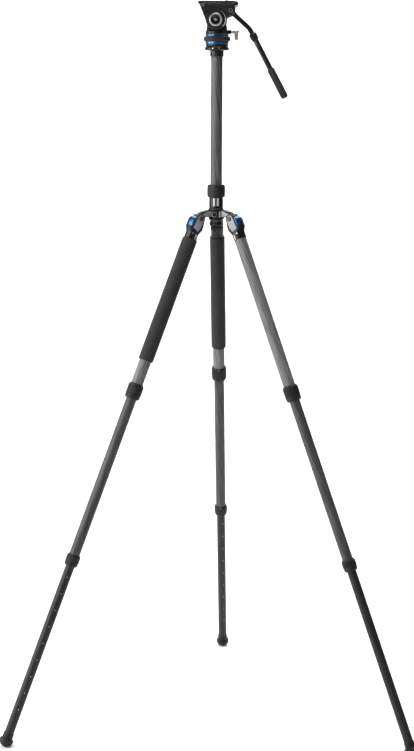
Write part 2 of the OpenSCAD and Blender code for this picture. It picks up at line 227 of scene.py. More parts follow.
def clean(P, tol=0.02):
    """Drops points that repeat."""
    out = []
    for p in P:
        if not out or math.hypot(p[0] - out[-1][0], p[1] - out[-1][1]) > tol:
            out.append(p)
    while math.hypot(out[0][0] - out[-1][0], out[0][1] - out[-1][1]) < tol:
        out.pop()
    return out


def prism(outline, y0, y1, b=0.8, seg=3, axis="Y"):
    """An outline (x, z) run from y0 to y1 with its two rims rounded by b. axis Z puts the outline in x, y."""
    P = clean(outline)
    if area2(P) < 0:
        P = P[::-1]
    n = len(P)
    rings = []
    for k in range(seg + 1):
        t = math.pi / 2 * k / seg
        rings.append((inset(P, b * (1 - math.sin(t))), y0 + b * (1 - math.cos(t))))
    for k in range(seg, -1, -1):
        t = math.pi / 2 * k / seg
        rings.append((inset(P, b * (1 - math.sin(t))), y1 - b * (1 - math.cos(t))))
    if b <= 0:
        rings = [(np.array(P), y0), (np.array(P), y1)]
    V, F = [], []
    for Q, y in rings:
        for x, z in Q:
            V.append((x, y, z) if axis == "Y" else (x, z, y))
    for i in range(len(rings) - 1):
        for k in range(n):
            a, c = i * n, (i + 1) * n
            F.append((a + k, a + (k + 1) % n, c + (k + 1) % n, c + k))
    F.append(tuple(range(n)))
    F.append(tuple(range((len(rings) - 1) * n, len(rings) * n)))
    return V, F


def move(vf, M):
    V, F = vf
    return [tuple(M @ Vector(v)) for v in V], F


def join(*parts):
    V, F = [], []
    for v, f in parts:
        b = len(V)
        V += list(v)
        F += [tuple(i + b for i in q) for q in f]
    return V, F


def volume(me):
    bm = bmesh.new()
    bm.from_mesh(me)
    v = bm.calc_volume(signed=True)
    bm.free()
    return v


def tmp_obj(vf, name="tmp"):
    me = bpy.data.meshes.new(name)
    me.from_pydata([tuple(v) for v in vf[0]], [], [tuple(f) for f in vf[1]])
    bm = bmesh.new()
    bm.from_mesh(me)
    bmesh.ops.remove_doubles(bm, verts=bm.verts, dist=1e-5)
    bmesh.ops.recalc_face_normals(bm, faces=bm.faces)
    if bm.calc_volume(signed=True) < 0:
        bmesh.ops.reverse_faces(bm, faces=bm.faces)
    bm.to_mesh(me)
    bm.free()
    o = bpy.data.objects.new(name, me)
    bpy.context.scene.collection.objects.link(o)
    return o


def csg(base, *ops):
    """base with ("+" or "-" or "&", shape) applied in turn; shapes are (verts, faces). Works in millimetres."""
    o = tmp_obj(base)
    for k, (op, vf) in enumerate(ops):
        t = tmp_obj(vf)
        v0, vt = volume(o.data), volume(t.data)
        for solver in ("MANIFOLD", "EXACT"):
            m_ = o.modifiers.new("b", "BOOLEAN")
            m_.operation = {"+": "UNION", "-": "DIFFERENCE", "&": "INTERSECT"}[op]
            m_.solver = solver
            m_.object = t
            bpy.context.view_layer.update()
            dg = bpy.context.evaluated_depsgraph_get()
            me = bpy.data.meshes.new_from_object(o.evaluated_get(dg))
            o.modifiers.clear()
            v1 = volume(me)
            good = {"+": max(v0, vt) * 0.999 < v1 < (v0 + vt) * 1.001, "-": (v0 - vt) * 0.999 - 1e-3 < v1 < v0 * 1.0001 - 1e-6,
                    "&": 0 < v1 < min(v0, vt) * 1.001}[op]
            if good:
                break
            if solver == "MANIFOLD":
                bpy.data.meshes.remove(me)
            else:
                print("boolean step %d %s: %.3f %.3f -> %.3f" % (k, op, v0, vt, v1))
        old = o.data
        o.data = me
        bpy.data.meshes.remove(old)
        d = t.data
        bpy.data.objects.remove(t)
        bpy.data.meshes.remove(d)
    me = o.data
    V = [tuple(v.co) for v in me.vertices]
    F = [tuple(p.vertices) for p in me.polygons]
    bpy.data.objects.remove(o)
    bpy.data.meshes.remove(me)
    return V, F


def cyl(r, z0, z1, n=64, b=0.0):
    """A plain or chamfer-rounded cylinder along Z."""
    if b <= 0:
        return lathe([(0, z0), (r, z0), (r, z1), (0, z1)], n, closed=False)
    return lathe(fillet([(0, z0, 0), (r, z0, b), (r, z1, b), (0, z1, 0)], closed=False, seg=3), n, closed=False)


def cyl_y(x, z, y0, y1, r, n=64, b=0.0):
    """A cylinder along Y, centred at x, z."""
    return move(cyl(r, y0, y1, n, b), Matrix.Translation((x, 0, z)) @ R(-90, "X"))


def cyl_x(y, z, x0, x1, r, n=64, b=0.0):
    return move(cyl(r, x0, x1, n, b), Matrix.Translation((0, y, z)) @ R(90, "Y"))


def arc(cx, cy, r, a0, a1, n):
    return [(cx + r * math.cos(math.radians(a0 + (a1 - a0) * k / n)), cy + r * math.sin(math.radians(a0 + (a1 - a0) * k / n))) for k in range(n + 1)]


def box_vf(x0, x1, y0, y1, z0, z1):
    V = [(x, y, z) for x in (x0, x1) for y in (y0, y1) for z in (z0, z1)]
    F = [(0, 1, 3, 2), (4, 6, 7, 5), (0, 4, 5, 1), (2, 3, 7, 6), (0, 2, 6, 4), (1, 5, 7, 3)]
    return V, F


def sweep(path, rad, n=32):
    """A round bar along points, with rounded transport frames; rad is a number or a list."""
    P = [Vector(p) for p in path]
    V, F = [], []
    t0 = (P[1] - P[0]).normalized()
    nrm = t0.orthogonal().normalized()
    rings = []
    for i, p in enumerate(P):
        t = (P[min(i + 1, len(P) - 1)] - P[max(i - 1, 0)]).normalized()
        nrm = (nrm - t * nrm.dot(t)).normalized()
        b = t.cross(nrm)
        r = rad[i] if isinstance(rad, (list, tuple)) else rad
        ring = []
        for k in range(n):
            a = 2 * math.pi * k / n
            ring.append(len(V))
            V.append(tuple(p + nrm * (r * math.cos(a)) + b * (r * math.sin(a))))
        rings.append(ring)
    for i in range(len(rings) - 1):
        A, B = rings[i], rings[i + 1]
        F += [(A[k], A[(k + 1) % n], B[(k + 1) % n], B[k]) for k in range(n)]
    F.append(tuple(rings[0]))
    F.append(tuple(rings[-1]))
    return V, F


# ------------------------------------------------------------------ materials


class Nodes:
    def __init__(self, name):
        self.m = bpy.data.materials.new(name)
        self.m.use_nodes = True
        self.t = self.m.node_tree
        self.p = self.t.nodes["Principled BSDF"]
        self.tc = self.t.nodes.new("ShaderNodeTexCoord")

    def n(self, kind, **k):
        x = self.t.nodes.new(kind)
        for a, b in k.items():
            setattr(x, a, b)
        return x

    def link(self, a, b):
        self.t.links.new(a, b)

    def val(self, node, **k):
        for a, b in k.items():
            node.inputs[a.replace("_", " ")].default_value = b
        return node

    def scaled(self, sx, sy, sz, src=None):
        mp = self.n("ShaderNodeMapping")
        mp.inputs["Scale"].default_value = (sx, sy, sz)
        self.link(src or self.tc.outputs["Object"], mp.inputs["Vector"])
        return mp.outputs["Vector"]

    def noise(self, vec, scale, detail=3.0, rough=0.5):
        x = self.n("ShaderNodeTexNoise")
        x.inputs["Scale"].default_value = scale
        x.inputs["Detail"].default_value = detail
        x.inputs["Roughness"].default_value = rough
        self.link(vec, x.inputs["Vector"])
        return x.outputs["Fac"]

    def ramp(self, fac, stops):
        x = self.n("ShaderNodeValToRGB")
        els = x.color_ramp.elements
        while len(els) < len(stops):
            els.new(0.5)
        for e, (p, c) in zip(els, stops):
            e.position = p
            e.color = (*c, 1) if len(c) == 3 else c
        self.link(fac, x.inputs["Fac"])
        return x.outputs["Color"]

    def range(self, fac, lo, hi, a=0.0, b=1.0):
        x = self.n("ShaderNodeMapRange")
        x.inputs["From Min"].default_value = a
        x.inputs["From Max"].default_value = b
        x.inputs["To Min"].default_value = lo
        x.inputs["To Max"].default_value = hi
        self.link(fac, x.inputs["Value"])
        return x.outputs["Result"]

    def math(self, op, a, b=None):
        x = self.n("ShaderNodeMath", operation=op)
        for i, v in enumerate((a, b)):
            if v is None:
                continue
            if isinstance(v, (int, float)):
                x.inputs[i].default_value = v
            else:
                self.link(v, x.inputs[i])
        return x.outputs[0]

    def mix(self, fac, a, b):
        x = self.n("ShaderNodeMix", data_type="RGBA")
        if isinstance(fac, (int, float)):
            x.inputs[0].default_value = fac
        else:
            self.link(fac, x.inputs[0])
        for i, v in ((6, a), (7, b)):
            if isinstance(v, tuple):
                x.inputs[i].default_value = (*v, 1)
            else:
                self.link(v, x.inputs[i])
        return x.outputs[2]

    def bump(self, height, strength, dist, normal=None):
        x = self.n("ShaderNodeBump")
        x.inputs["Strength"].default_value = strength
        x.inputs["Distance"].default_value = dist
        self.link(height, x.inputs["Height"])
        if normal is not None:
            self.link(normal, x.inputs["Normal"])
        return x.outputs["Normal"]


def g(v):
    """sRGB 0-255 to linear."""
    c = v / 255
    return c / 12.92 if c <= 0.04045 else ((c + 0.055) / 1.055) ** 2.4


def rgb(r, gg, b):
    return (g(r), g(gg), g(b))


def twisted(N, k):
    """Object coordinates turned about the tube's own axis as z grows, so that a pattern winds round it."""
    sep = N.n("ShaderNodeSeparateXYZ")
    N.link(N.tc.outputs["Object"], sep.inputs[0])
    ang = N.math("MULTIPLY", sep.outputs["Z"], k)
    rot = N.n("ShaderNodeVectorRotate", rotation_type="Z_AXIS")
    N.link(N.tc.outputs["Object"], rot.inputs["Vector"])
    N.link(ang, rot.inputs["Angle"])
    return rot.outputs["Vector"]


def carbon(name, lo, hi, k=7.0, rough=0.46):
    N = Nodes(name)
    w1 = N.scaled(1, 1, 0.02, twisted(N, k))
    w2 = N.scaled(1, 1, 0.02, twisted(N, -k * 1.7))
    n1 = N.noise(w1, 420, 2.0, 0.6)
    n2 = N.noise(w2, 900, 2.0, 0.5)
    n3 = N.noise(N.tc.outputs["Object"], 14, 2.0)
    both = N.math("ADD", N.math("MULTIPLY", n1, 0.65), N.math("MULTIPLY", n2, 0.35))
    col = N.ramp(both, [(0.36, lo), (0.5, tuple((a + b) / 2 for a, b in zip(lo, hi))), (0.66, hi)])
    col = N.mix(N.range(n3, 0.0, 0.25, 0.35, 0.65), col, tuple(c * 0.7 for c in lo))
    N.link(col, N.p.inputs["Base Color"])
    N.link(N.range(both, rough - 0.06, rough + 0.08, 0.35, 0.65), N.p.inputs["Roughness"])
    N.link(N.bump(both, 0.35, 0.0002), N.p.inputs["Normal"])
    N.p.inputs["Specular IOR Level"].default_value = 0.28
    N.p.inputs["Coat Weight"].default_value = 0.03
    N.p.inputs["Coat Roughness"].default_value = 0.3
    return N.m


def grained(name, a, b, scale, rough, metal=0.0, bump=0.25, dist=0.0002, detail=3.0, spec=0.5, coat=0.0, coat_r=0.1,
            stretch=(1, 1, 1), sheen=0.0, painted_edge_highlight=None, fine=None):
    N = Nodes(name)
    vec = N.scaled(*stretch)
    n1 = N.noise(vec, scale, detail)
    n2 = N.noise(N.tc.outputs["Object"], 35, 2.0)
    col = N.ramp(n1, [(0.38, a), (0.62, b)])
    col = N.mix(N.range(n2, 0.0, 0.22, 0.4, 0.7), col, tuple(min(1.0, c * 1.25 + 0.002) for c in b))
    # painted highlight: where pointiness marks a sharp edge, broken up by noise, the colour is lightened towards this
    # grey to stand for light caught on the rims
    if painted_edge_highlight:
        geo = N.n("ShaderNodeNewGeometry")
        edge = N.range(geo.outputs["Pointiness"], 0.0, 1.0, 0.53, 0.60)
        brk = N.range(N.noise(N.tc.outputs["Object"], 260, 4.0), 0.0, 1.0, 0.45, 0.62)
        col = N.mix(N.math("MULTIPLY", N.math("MULTIPLY", edge, brk), 0.6), col, painted_edge_highlight)
    N.link(col, N.p.inputs["Base Color"])
    N.link(N.range(n1, rough[0], rough[1], 0.3, 0.7), N.p.inputs["Roughness"])
    h = n1
    nrm = N.bump(h, bump, dist)
    if fine:
        nrm = N.bump(N.noise(N.tc.outputs["Object"], fine, 2.0), bump * 0.8, dist * 0.5, nrm)
    N.link(nrm, N.p.inputs["Normal"])
    N.p.inputs["Metallic"].default_value = metal
    N.p.inputs["Specular IOR Level"].default_value = spec
    N.p.inputs["Coat Weight"].default_value = coat
    N.p.inputs["Coat Roughness"].default_value = coat_r
    if sheen:
        N.p.inputs["Sheen Weight"].default_value = sheen
        N.p.inputs["Sheen Roughness"].default_value = 0.4
    return N.m


# one carbon in stepped tones: the upper tubes get a lighter copy (painted light) and the middle and lower tubes darker
# copies (painted shade), for the light that falls off down the legs; the column has a tone of its own
M_CARBON_COL = carbon("carbon_column", rgb(44, 45, 46), rgb(104, 104, 105), 7.4)
M_CARBON = carbon("carbon_upper", rgb(66, 67, 68), rgb(128, 128, 129), 8.5)
M_CARBON_MID_SHADED = carbon("carbon_middle", rgb(27, 28, 29), rgb(84, 84, 85), 8.5)
M_CARBON_LOW_SHADED = carbon("carbon_lower", rgb(12, 13, 14), rgb(36, 36, 37), 8.5)
M_FOAM = grained("foam", rgb(34, 34, 35), rgb(52, 52, 53), 900, (0.78, 0.95), bump=0.6, dist=0.0006, spec=0.15, sheen=0.12, fine=2600)
# the black casting and the black anodised parts carry a painted edge highlight in light grey
M_CAST = grained("black_casting", rgb(6, 6, 7), rgb(11, 11, 12), 500, (0.28, 0.4), bump=0.08, dist=0.0001, spec=0.22, coat=0.1, coat_r=0.08, painted_edge_highlight=rgb(110, 110, 112))
M_ANO = grained("black_anodised", rgb(19, 19, 20), rgb(32, 32, 34), 1500, (0.36, 0.48), spec=0.35, metal=0.2, bump=0.18, dist=0.0001, painted_edge_highlight=rgb(110, 110, 112), fine=4000)
M_ANO_DK = grained("black_anodised_dark", rgb(11, 11, 12), rgb(20, 20, 21), 1500, (0.34, 0.46), spec=0.3, metal=0.15, bump=0.15, dist=0.0001, fine=4000)
M_BLUE = grained("blue_anodised", rgb(22, 60, 92), rgb(40, 86, 122), 260, (0.26, 0.36), metal=0.9, bump=0.12, dist=0.0001, stretch=(1, 1, 14), coat=0.3, coat_r=0.1)
M_BLUE_RING = grained("blue_ring", rgb(26, 66, 100), rgb(46, 94, 132), 300, (0.3, 0.4), metal=0.8, bump=0.1, dist=0.0001, stretch=(0.05, 0.05, 12), coat=0.3, coat_r=0.1)
M_RUBBER = grained("lock_rubber", rgb(10, 10, 11), rgb(20, 20, 21), 1300, (0.42, 0.58), bump=0.35, dist=0.0002, spec=0.28, fine=3200)
M_FOOT = grained("foot_rubber", rgb(11, 11, 12), rgb(21, 21, 22), 700, (0.45, 0.6), bump=0.4, dist=0.0003, spec=0.3, fine=2600)
M_STEEL = grained("satin_steel", rgb(168, 169, 171), rgb(205, 205, 207), 900, (0.24, 0.38), metal=1.0, bump=0.15, dist=0.0001, stretch=(1, 1, 8))
M_BOLT = grained("dark_bolt", rgb(58, 58, 60), rgb(84, 84, 86), 900, (0.36, 0.5), metal=0.6, bump=0.15, dist=0.0001)
M_WEB = grained("machined_face", rgb(122, 123, 125), rgb(148, 148, 150), 380, (0.5, 0.62), metal=0.25, bump=0.15, dist=0.0001, stretch=(1, 12, 1))
M_SPRING = grained("spring_wire", rgb(120, 122, 126), rgb(160, 162, 166), 900, (0.25, 0.4), metal=1.0, bump=0.1, dist=0.0001)
M_WARM = grained("warm_alloy", rgb(146, 138, 128), rgb(174, 166, 156), 1400, (0.32, 0.46), metal=0.55, bump=0.3, dist=0.0002, fine=3800)
M_ACETAL = grained("acetal", rgb(205, 203, 196), rgb(226, 224, 217), 240, (0.4, 0.55), bump=0.15, dist=0.0001)
# the handle carries the same painted edge highlight in light grey
M_BAR = grained("handle_black", rgb(14, 14, 15), rgb(24, 24, 25), 900, (0.24, 0.34), spec=0.4, metal=0.2, bump=0.12, dist=0.0001, coat=0.3, coat_r=0.12, painted_edge_highlight=rgb(110, 110, 112))
M_GRIP = grained("grip_rubber", rgb(30, 30, 31), rgb(45, 45, 46), 1100, (0.62, 0.8), bump=0.5, dist=0.0004, spec=0.22, sheen=0.08, fine=3000)
M_GREY = grained("grey_plastic", rgb(118, 120, 123), rgb(146, 148, 150), 500, (0.4, 0.5), bump=0.15, dist=0.0001)
M_MARK = grained("white_mark", rgb(158, 158, 158), rgb(190, 190, 190), 800, (0.45, 0.6), bump=0.2, dist=0.0001)

SLOT_MAT = {
    "carbon": M_CARBON, "foam": M_FOAM, "black_casting": M_CAST, "black_anodised": M_ANO, "blue_anodised": M_BLUE,
    "lock_rubber": M_RUBBER, "foot_rubber": M_FOOT, "steel": M_STEEL, "spring_steel": M_SPRING, "warm_alloy": M_WARM,
    "acetal": M_ACETAL, "handle_black": M_BAR, "grip_rubber": M_GRIP, "grey_plastic": M_GREY,
}
slots = {s["node"]: s["material_slot"] for s in frame["record"]["subparts"]}
for name, o in frame["nodes"].items():
    o.data.materials.clear()
    o.data.materials.append(SLOT_MAT[slots[name]])
    for p in o.data.polygons:
        p.material_index = 0

# ------------------------------------------------------------------ legs


def ring_profile(ro, ri, w0, w1, b=0.4):
    return fillet([(ro, -w0, b), (ro, -w1, b), (ri, -w1, b * 0.6), (ri, -w0, b * 0.6)], seg=3)


def tube_vf(ro, ri, w0, w1, n=96):
    # a few rings along the length keep the shading even
    top, bot = -w0, -w1
    outer = [(ro, top - 0.4)] + [(ro, top + (bot - top) * t) for t in (0.25, 0.5, 0.75)] + [(ro, bot + 0.4)]
    prof = [(ro - 0.4, top)] + outer + [(ro - 0.4, bot), (ri + 0.3, bot), (ri, bot + 0.3), (ri, top - 0.3), (ri + 0.3, top)]
    return lathe(prof, n)


def lock_vf(w, length, big, small, out, ribs, dimpled=True):
    """A ribbed twist collar: a ribbed zone, a smooth lower rim and a stepped lower lip."""
    rib0, rib1 = w + 4.5, w + length - 10.5
    prof = [(big + 0.15, -w, 0), (out - 2.4, -w, 0.7), (out - 1.3, -(w + 2.2), 0.6), (out - 0.9, -(w + 3.8), 0.2)]
    zs = np.linspace(rib0, rib1, 19)
    for z in zs:
        prof.append((out, -z, 0))
    prof += [(out - 0.9, -(rib1 + 1.0), 0.2), (out - 0.2, -(rib1 + 2.0), 0.4), (out - 0.2, -(w + length - 4.4), 0.8),
             (out - 1.6, -(w + length - 3.2), 0.2), (out - 1.6, -(w + length - 1.6), 0.5), (out - 2.8, -(w + length), 0.5),
             (small + 0.35, -(w + length), 0.3), (small + 0.35, -(w + 16), 0), (big + 0.15, -(w + 16), 0)]
    P = fillet(prof, seg=2)

    def rf(th, r, z, i):
        if r < out - 0.05:
            return r
        wz = -z
        t = (wz - rib0) / (rib1 - rib0)
        if t < -0.001 or t > 1.001:
            return r
        ph = th * ribs / (2 * math.pi)
        groove = max(0.0, math.cos(2 * math.pi * ph)) ** 0.8
        if dimpled and math.sin(th * 1.0 + 0.6) > -0.25:
            groove *= 0.25 + 0.75 * (0.5 - 0.5 * math.cos(2 * math.pi * 3 * t)) ** 0.7
        ends = min(1.0, min(t, 1 - t) / 0.09)
        barrel = 0.35 * (1 - (2 * t - 1) ** 2)
        return r + barrel - 1.15 * groove * ends

    return lathe(P, ribs * 10, rf)


tube_meshes = {
    "upper_tube": tube_vf(16.2, 14.7, 27, 484),
    "middle_tube": join(tube_vf(14.2, 12.8, 463, 959), lathe(ring_profile(14.65, 14.0, 463, 482, 0.2), 96)),
    "lower_tube": join(tube_vf(12.3, 10.8, 932, W_PAD - 5), lathe(ring_profile(12.75, 12.1, 932, 956, 0.2), 96)),
}
lock_up = lock_vf(469, 42, 16.2, 14.2, 20.65, 30)
lock_lo = lock_vf(948, 32, 14.2, 12.3, 18.35, 26)


def foam_vf():
    w0, w1, ro, ri = 59.2, 403.8, 20.5, 16.25
    prof = [(ri, -w0, 0.2), (ro - 0.2, -w0, 1.3)]
    for z in np.linspace(w0 + 3, w1 - 4, 60):
        prof.append((ro, -z, 0))
    prof += [(ro - 0.2, -w1, 1.6), (ri, -w1, 0.2)]
    P = fillet(prof, seg=4)

    def rf(th, r, z, i):
        if r < 19:
            return r
        w = -z
        return r - 0.12 + 0.10 * math.sin(w * 0.021 + 1.3) + 0.07 * math.sin(2 * th + w * 0.013) + 0.04 * math.sin(5 * th - w * 0.05) - (0.22 * math.exp(-((w - w0) / 4) ** 2) + 0.22 * math.exp(-((w1 - w) / 4) ** 2))

    return lathe(P, 96, rf)


foam_mesh = foam_vf()


def sleeve_vf():
    a = W_PAD - 19
    prof = fillet([(12.35, -a, 0), (13.2, -a, 0.3), (14.0, -(a + 1.4), 0.4), (14.0, -(a + 6.2), 0.3), (13.3, -(a + 6.8), 0.2),
                   (13.3, -(a + 7.8), 0.2), (14.0, -(a + 8.4), 0.3), (14.0, -(a + 14.4), 0.4), (13.2, -(a + 15), 0.2), (12.35, -(a + 15), 0)], seg=2)
    return lathe(prof, 96)


def pad_vf():
    """The rubber foot: a domed disc with a groove and moulded notches; cut_floor later presses it flat where it meets
    the floor.
    """
    rs = 20.0
    prof = [(0, -(W_PAD - 4), 0), (13.6, -(W_PAD - 4), 0.6), (14.4, -(W_PAD - 2.6), 0.5), (17.4, -(W_PAD - 2.2), 1.0), (18.45, -(W_PAD - 0.6), 0.7), (18.45, -(W_PAD + 6.9), 0.9)]
    a0 = math.degrees(math.asin(18.1 / rs))
    for a in np.linspace(a0, 0, 12):
        r = rs * math.sin(math.radians(a)) * 0.998
        z = W_PAD + rs * math.cos(math.radians(a)) * 0.998
        if 13.5 < r < 15.5:
            r -= 0.35
        prof.append((max(r, 0.0), -z, 0))
    P = fillet(prof, closed=False, seg=3)
    P[-1] = (0.0, P[-1][1])

    def rf(th, r, z, i):
        w = -z
        if 18.2 < r < 18.6 and W_PAD + 0.5 < w < W_PAD + 6.2:
            return r - 0.5 * max(0.0, math.cos(24 * th)) ** 2
        return r

    return lathe(P, 192, rf, closed=False)


sleeve_mesh = sleeve_vf()
pad_mesh = pad_vf()


def cut_floor(vf, az):
    """The pad's points that would pass through the floor are pressed onto it."""
    Mt = TUBE(az)
    inv = Mt.inverted()
    V = []
    for v in vf[0]:
        p = Mt @ Vector(v)
        if p.z < 0.02:
            p.z = 0.0
            V.append(tuple(inv @ p))
        else:
            V.append(v)
    return V, vf[1]


# the hinge casting, in the leg's own frame (x outward, -z down the leg, y along the pin)
def casting_vf():
    out = fillet([(-11.2, 3.5, 3), (-12.6, -8, 8), (-14.6, -19, 3), (-14.6, -45.0, 1), (27.6, -45.0, 1), (27.6, -26.7, 0.6), (13.0, -26.7, 1.2),
                  (13.0, -10, 6), (11.5, 2, 5), (8.5, 11.2, 6), (-5.5, 11.2, 7)], seg=5)
    body = prism(out, -17, 17, 1.5, 4)
    rnd = move(lathe(fillet([(0, 20, 0), (24, 20, 0), (24, -24, 0), (24, -28, 2.5), (21, -34, 5), (17.0, -42.5, 3), (17.0, -44, 0), (0, -44, 0)], closed=False, seg=4), 128, closed=False), T(TU, 0, 0))
    sleeve = move(lathe(fillet([(0, -30, 0), (17.4, -30, 0), (17.4, -56.8, 0.8), (16.9, -58.9, 0.6), (0, -58.9, 0)], closed=False, seg=3), 128, closed=False), T(TU, 0, 0))
    slot_ = box_vf(-60, 60, -10.3, 10.3, -25, 40)
    bore = move(cyl(16.25, -62, -27, 96), T(TU, 0, 0))
    pin = cyl_y(0, 0, -30, 30, 4.05, 48)
    rec = polished_outline(0.0)
    recs = [prism(rec, 16.6, 18.5, 0), prism(rec, -18.5, -16.6, 0)]
    seats = [cyl_y(0, 0, s_ * 17.1 - 0.5, s_ * 17.1 + 0.5, 6.6, 64) for s_ in (-1, 1)]
    return csg(body, ("&", rnd), ("+", sleeve), ("-", slot_), ("-", bore), ("-", pin), ("-", recs[0]), ("-", recs[1]), ("-", seats[0]), ("-", seats[1]))


def polished_outline(d):
    """The bright face that runs from the pivot down to a point at the edge of the sleeve."""
    P = fillet([(-7.8, 3, 3), (0, 9.4, 6), (8.2, 6.6, 5), (11.4, -8, 5), (11.9, -24.4, 1.2), (14.4, -29.4, 1.2), (-2.8, -35.6, 1.4), (-8.2, -24.5, 3), (-9.0, -10, 4)], seg=4)
    return [tuple(p) for p in inset(P, d)] if d else P


casting_mesh = casting_vf()
poly_in = polished_outline(0.12)
polished_mesh = [csg(prism(poly_in, s * 16.82 - 0.2, s * 16.82 + 0.2, 0.15, 2), ("-", cyl_y(0, 0, -30, 30, 6.65, 48))) for s in (-1, 1)]


def stop_vf():
    """The blue pull tab: a block in the fork, with a wide grip outside the cheeks that is rounded about the tube."""
    inner = fillet([(-6, -24.5, 1), (-6, -13.8, 1), (10.0, -13.8, 1.5), (15, -7.2, 1), (15, -24.5, 0.5)], seg=4)
    body = prism(inner, -9.85, 9.85, 0.6, 3)
    side = [(13.65, -16.5, 0.8), (19.9, -16.5, 4.0)] + [(TU + 23.55 * math.cos(math.radians(a_)), 23.55 * math.sin(math.radians(a_)), 0) for a_ in np.linspace(-32, 32, 33)]
    side += [(19.9, 16.5, 4.0), (13.65, 16.5, 0.8)]
    grip = prism(fillet(side, seg=5), -25.95, 2.0, 0.9, 3, "Z")
    rnd = move(lathe(fillet([(0, 0.95, 0), (13.5, 0.9, 5), (19.4, -0.9, 5), (22.3, -5, 6), (23.55, -11, 8), (23.55, -18, 8), (22.8, -25.95, 0), (0, -25.95, 0)], closed=False, seg=5), 160, closed=False), T(TU, 0, 0))
    grip = csg(grip, ("&", rnd))
    pin = cyl_y(0, 0, -30, 30, 12.5, 64)
    return csg(body, ("+", grip), ("-", pin))


stop_mesh = stop_vf()


def screw_vf(r, h, hexr, chamf=0.5, n=48, depth=1.6):
    """A socket cap head standing on z = 0."""
    head = lathe(fillet([(0, 0, 0), (r, 0, 0.1), (r, h, chamf), (0, h, 0)], closed=False, seg=3), n, closed=False)
    return csg(head, ("-", move(cyl(hexr, h - depth, h + 1, 6), Matrix.Identity(4))))


bolt_head = screw_vf(5.4, 2.7, 2.9, 0.8, 64, 1.9)

for leg, az in LEGS:
    L, Tb = LEG(az), TUBE(az)
    body = f"{leg}_leg"
    make(f"{leg}_upper_tube_skin", *tube_meshes["upper_tube"], Tb, M_CARBON, body, "carbon", replaces=[f"{leg}_upper_tube"])
    if leg != "right":
        f_ = make(f"{leg}_foam_sleeve", *foam_mesh, Tb, M_FOAM, body, "foam", replaces=[f"{leg}_foam_grip"])
    make(f"{leg}_hinge_fork", *casting_mesh, L, M_CAST, body, "black_casting", 40, [f"{leg}_hinge_casting"])
    for i, pm in enumerate(polished_mesh):
        make(f"{leg}_fork_face_{i}", *pm, L, M_WEB, body, "steel", 40)
    make(f"{leg}_pull_tab", *stop_mesh, L, M_BLUE, f"{leg}_stop", "blue_anodised", 40, [f"{leg}_angle_stop"])
    make(f"{leg}_upper_collar_ribbed", *lock_up, Tb, M_RUBBER, f"{leg}_upper_collar", "lock_rubber", 50, [f"{leg}_upper_lock"])
    make(f"{leg}_middle_tube_skin", *tube_meshes["middle_tube"], Tb, M_CARBON_MID_SHADED, f"{leg}_middle", "carbon", replaces=[f"{leg}_middle_tube"])
    make(f"{leg}_lower_collar_ribbed", *lock_lo, Tb, M_RUBBER, f"{leg}_lower_collar", "lock_rubber", 50, [f"{leg}_lower_lock"])
    make(f"{leg}_lower_tube_skin", *tube_meshes["lower_tube"], Tb, M_CARBON_LOW_SHADED, f"{leg}_lower", "carbon", replaces=[f"{leg}_lower_tube"])
    make(f"{leg}_foot_collar", *sleeve_mesh, Tb, M_ANO_DK, f"{leg}_lower", "black_anodised", replaces=[f"{leg}_foot_sleeve"])
    make(f"{leg}_foot_rubber", *cut_floor(pad_mesh, az), Tb, M_FOOT, f"{leg}_lower", "foot_rubber", 40, [f"{leg}_foot_pad"])


# ------------------------------------------------------------------ shoulder and column


def wrap_strip(r0, r1, width, z0, z1, b=0.3, n=8):
    """A strip on a cylinder's front, at angle 0 (+X), closed, with its outer rim eased by b."""
    rows = [(r0, 0.0), (r1 - b, 0.0), (r1, b)]
    V, F, loops = [], [], []
    for r, i in rows:
        half = (width / 2 - i) / r
        lo = [(r * math.cos(t), r * math.sin(t), z0 + i) for t in np.linspace(-half, half, n + 1)]
        hi = [(r * math.cos(t), r * math.sin(t), z1 - i) for t in np.linspace(half, -half, n + 1)]
        loops.append([len(V) + k for k in range(2 * n + 2)])
        V += lo + hi
    for A, B in zip(loops, loops[1:]):
        for k in range(len(A)):
            F.append((A[k], A[(k + 1) % len(A)], B[(k + 1) % len(A)], B[k]))
    for L in (loops[0], loops[-1]):
        for k in range(n):
            F.append((L[k], L[k + 1], L[2 * n - k], L[2 * n + 1 - k]))
    return V, F


def dome(r, h, n=32):
    """A small domed dot standing on z = 0, with its root a little below."""
    prof = [(0, -0.4), (r, -0.4), (r, 0.0)] + [(r * math.cos(t), h * math.sin(t)) for t in np.linspace(0.2, math.pi / 2 - 0.15, 5)] + [(0, h)]
    return lathe(prof, n, closed=False)


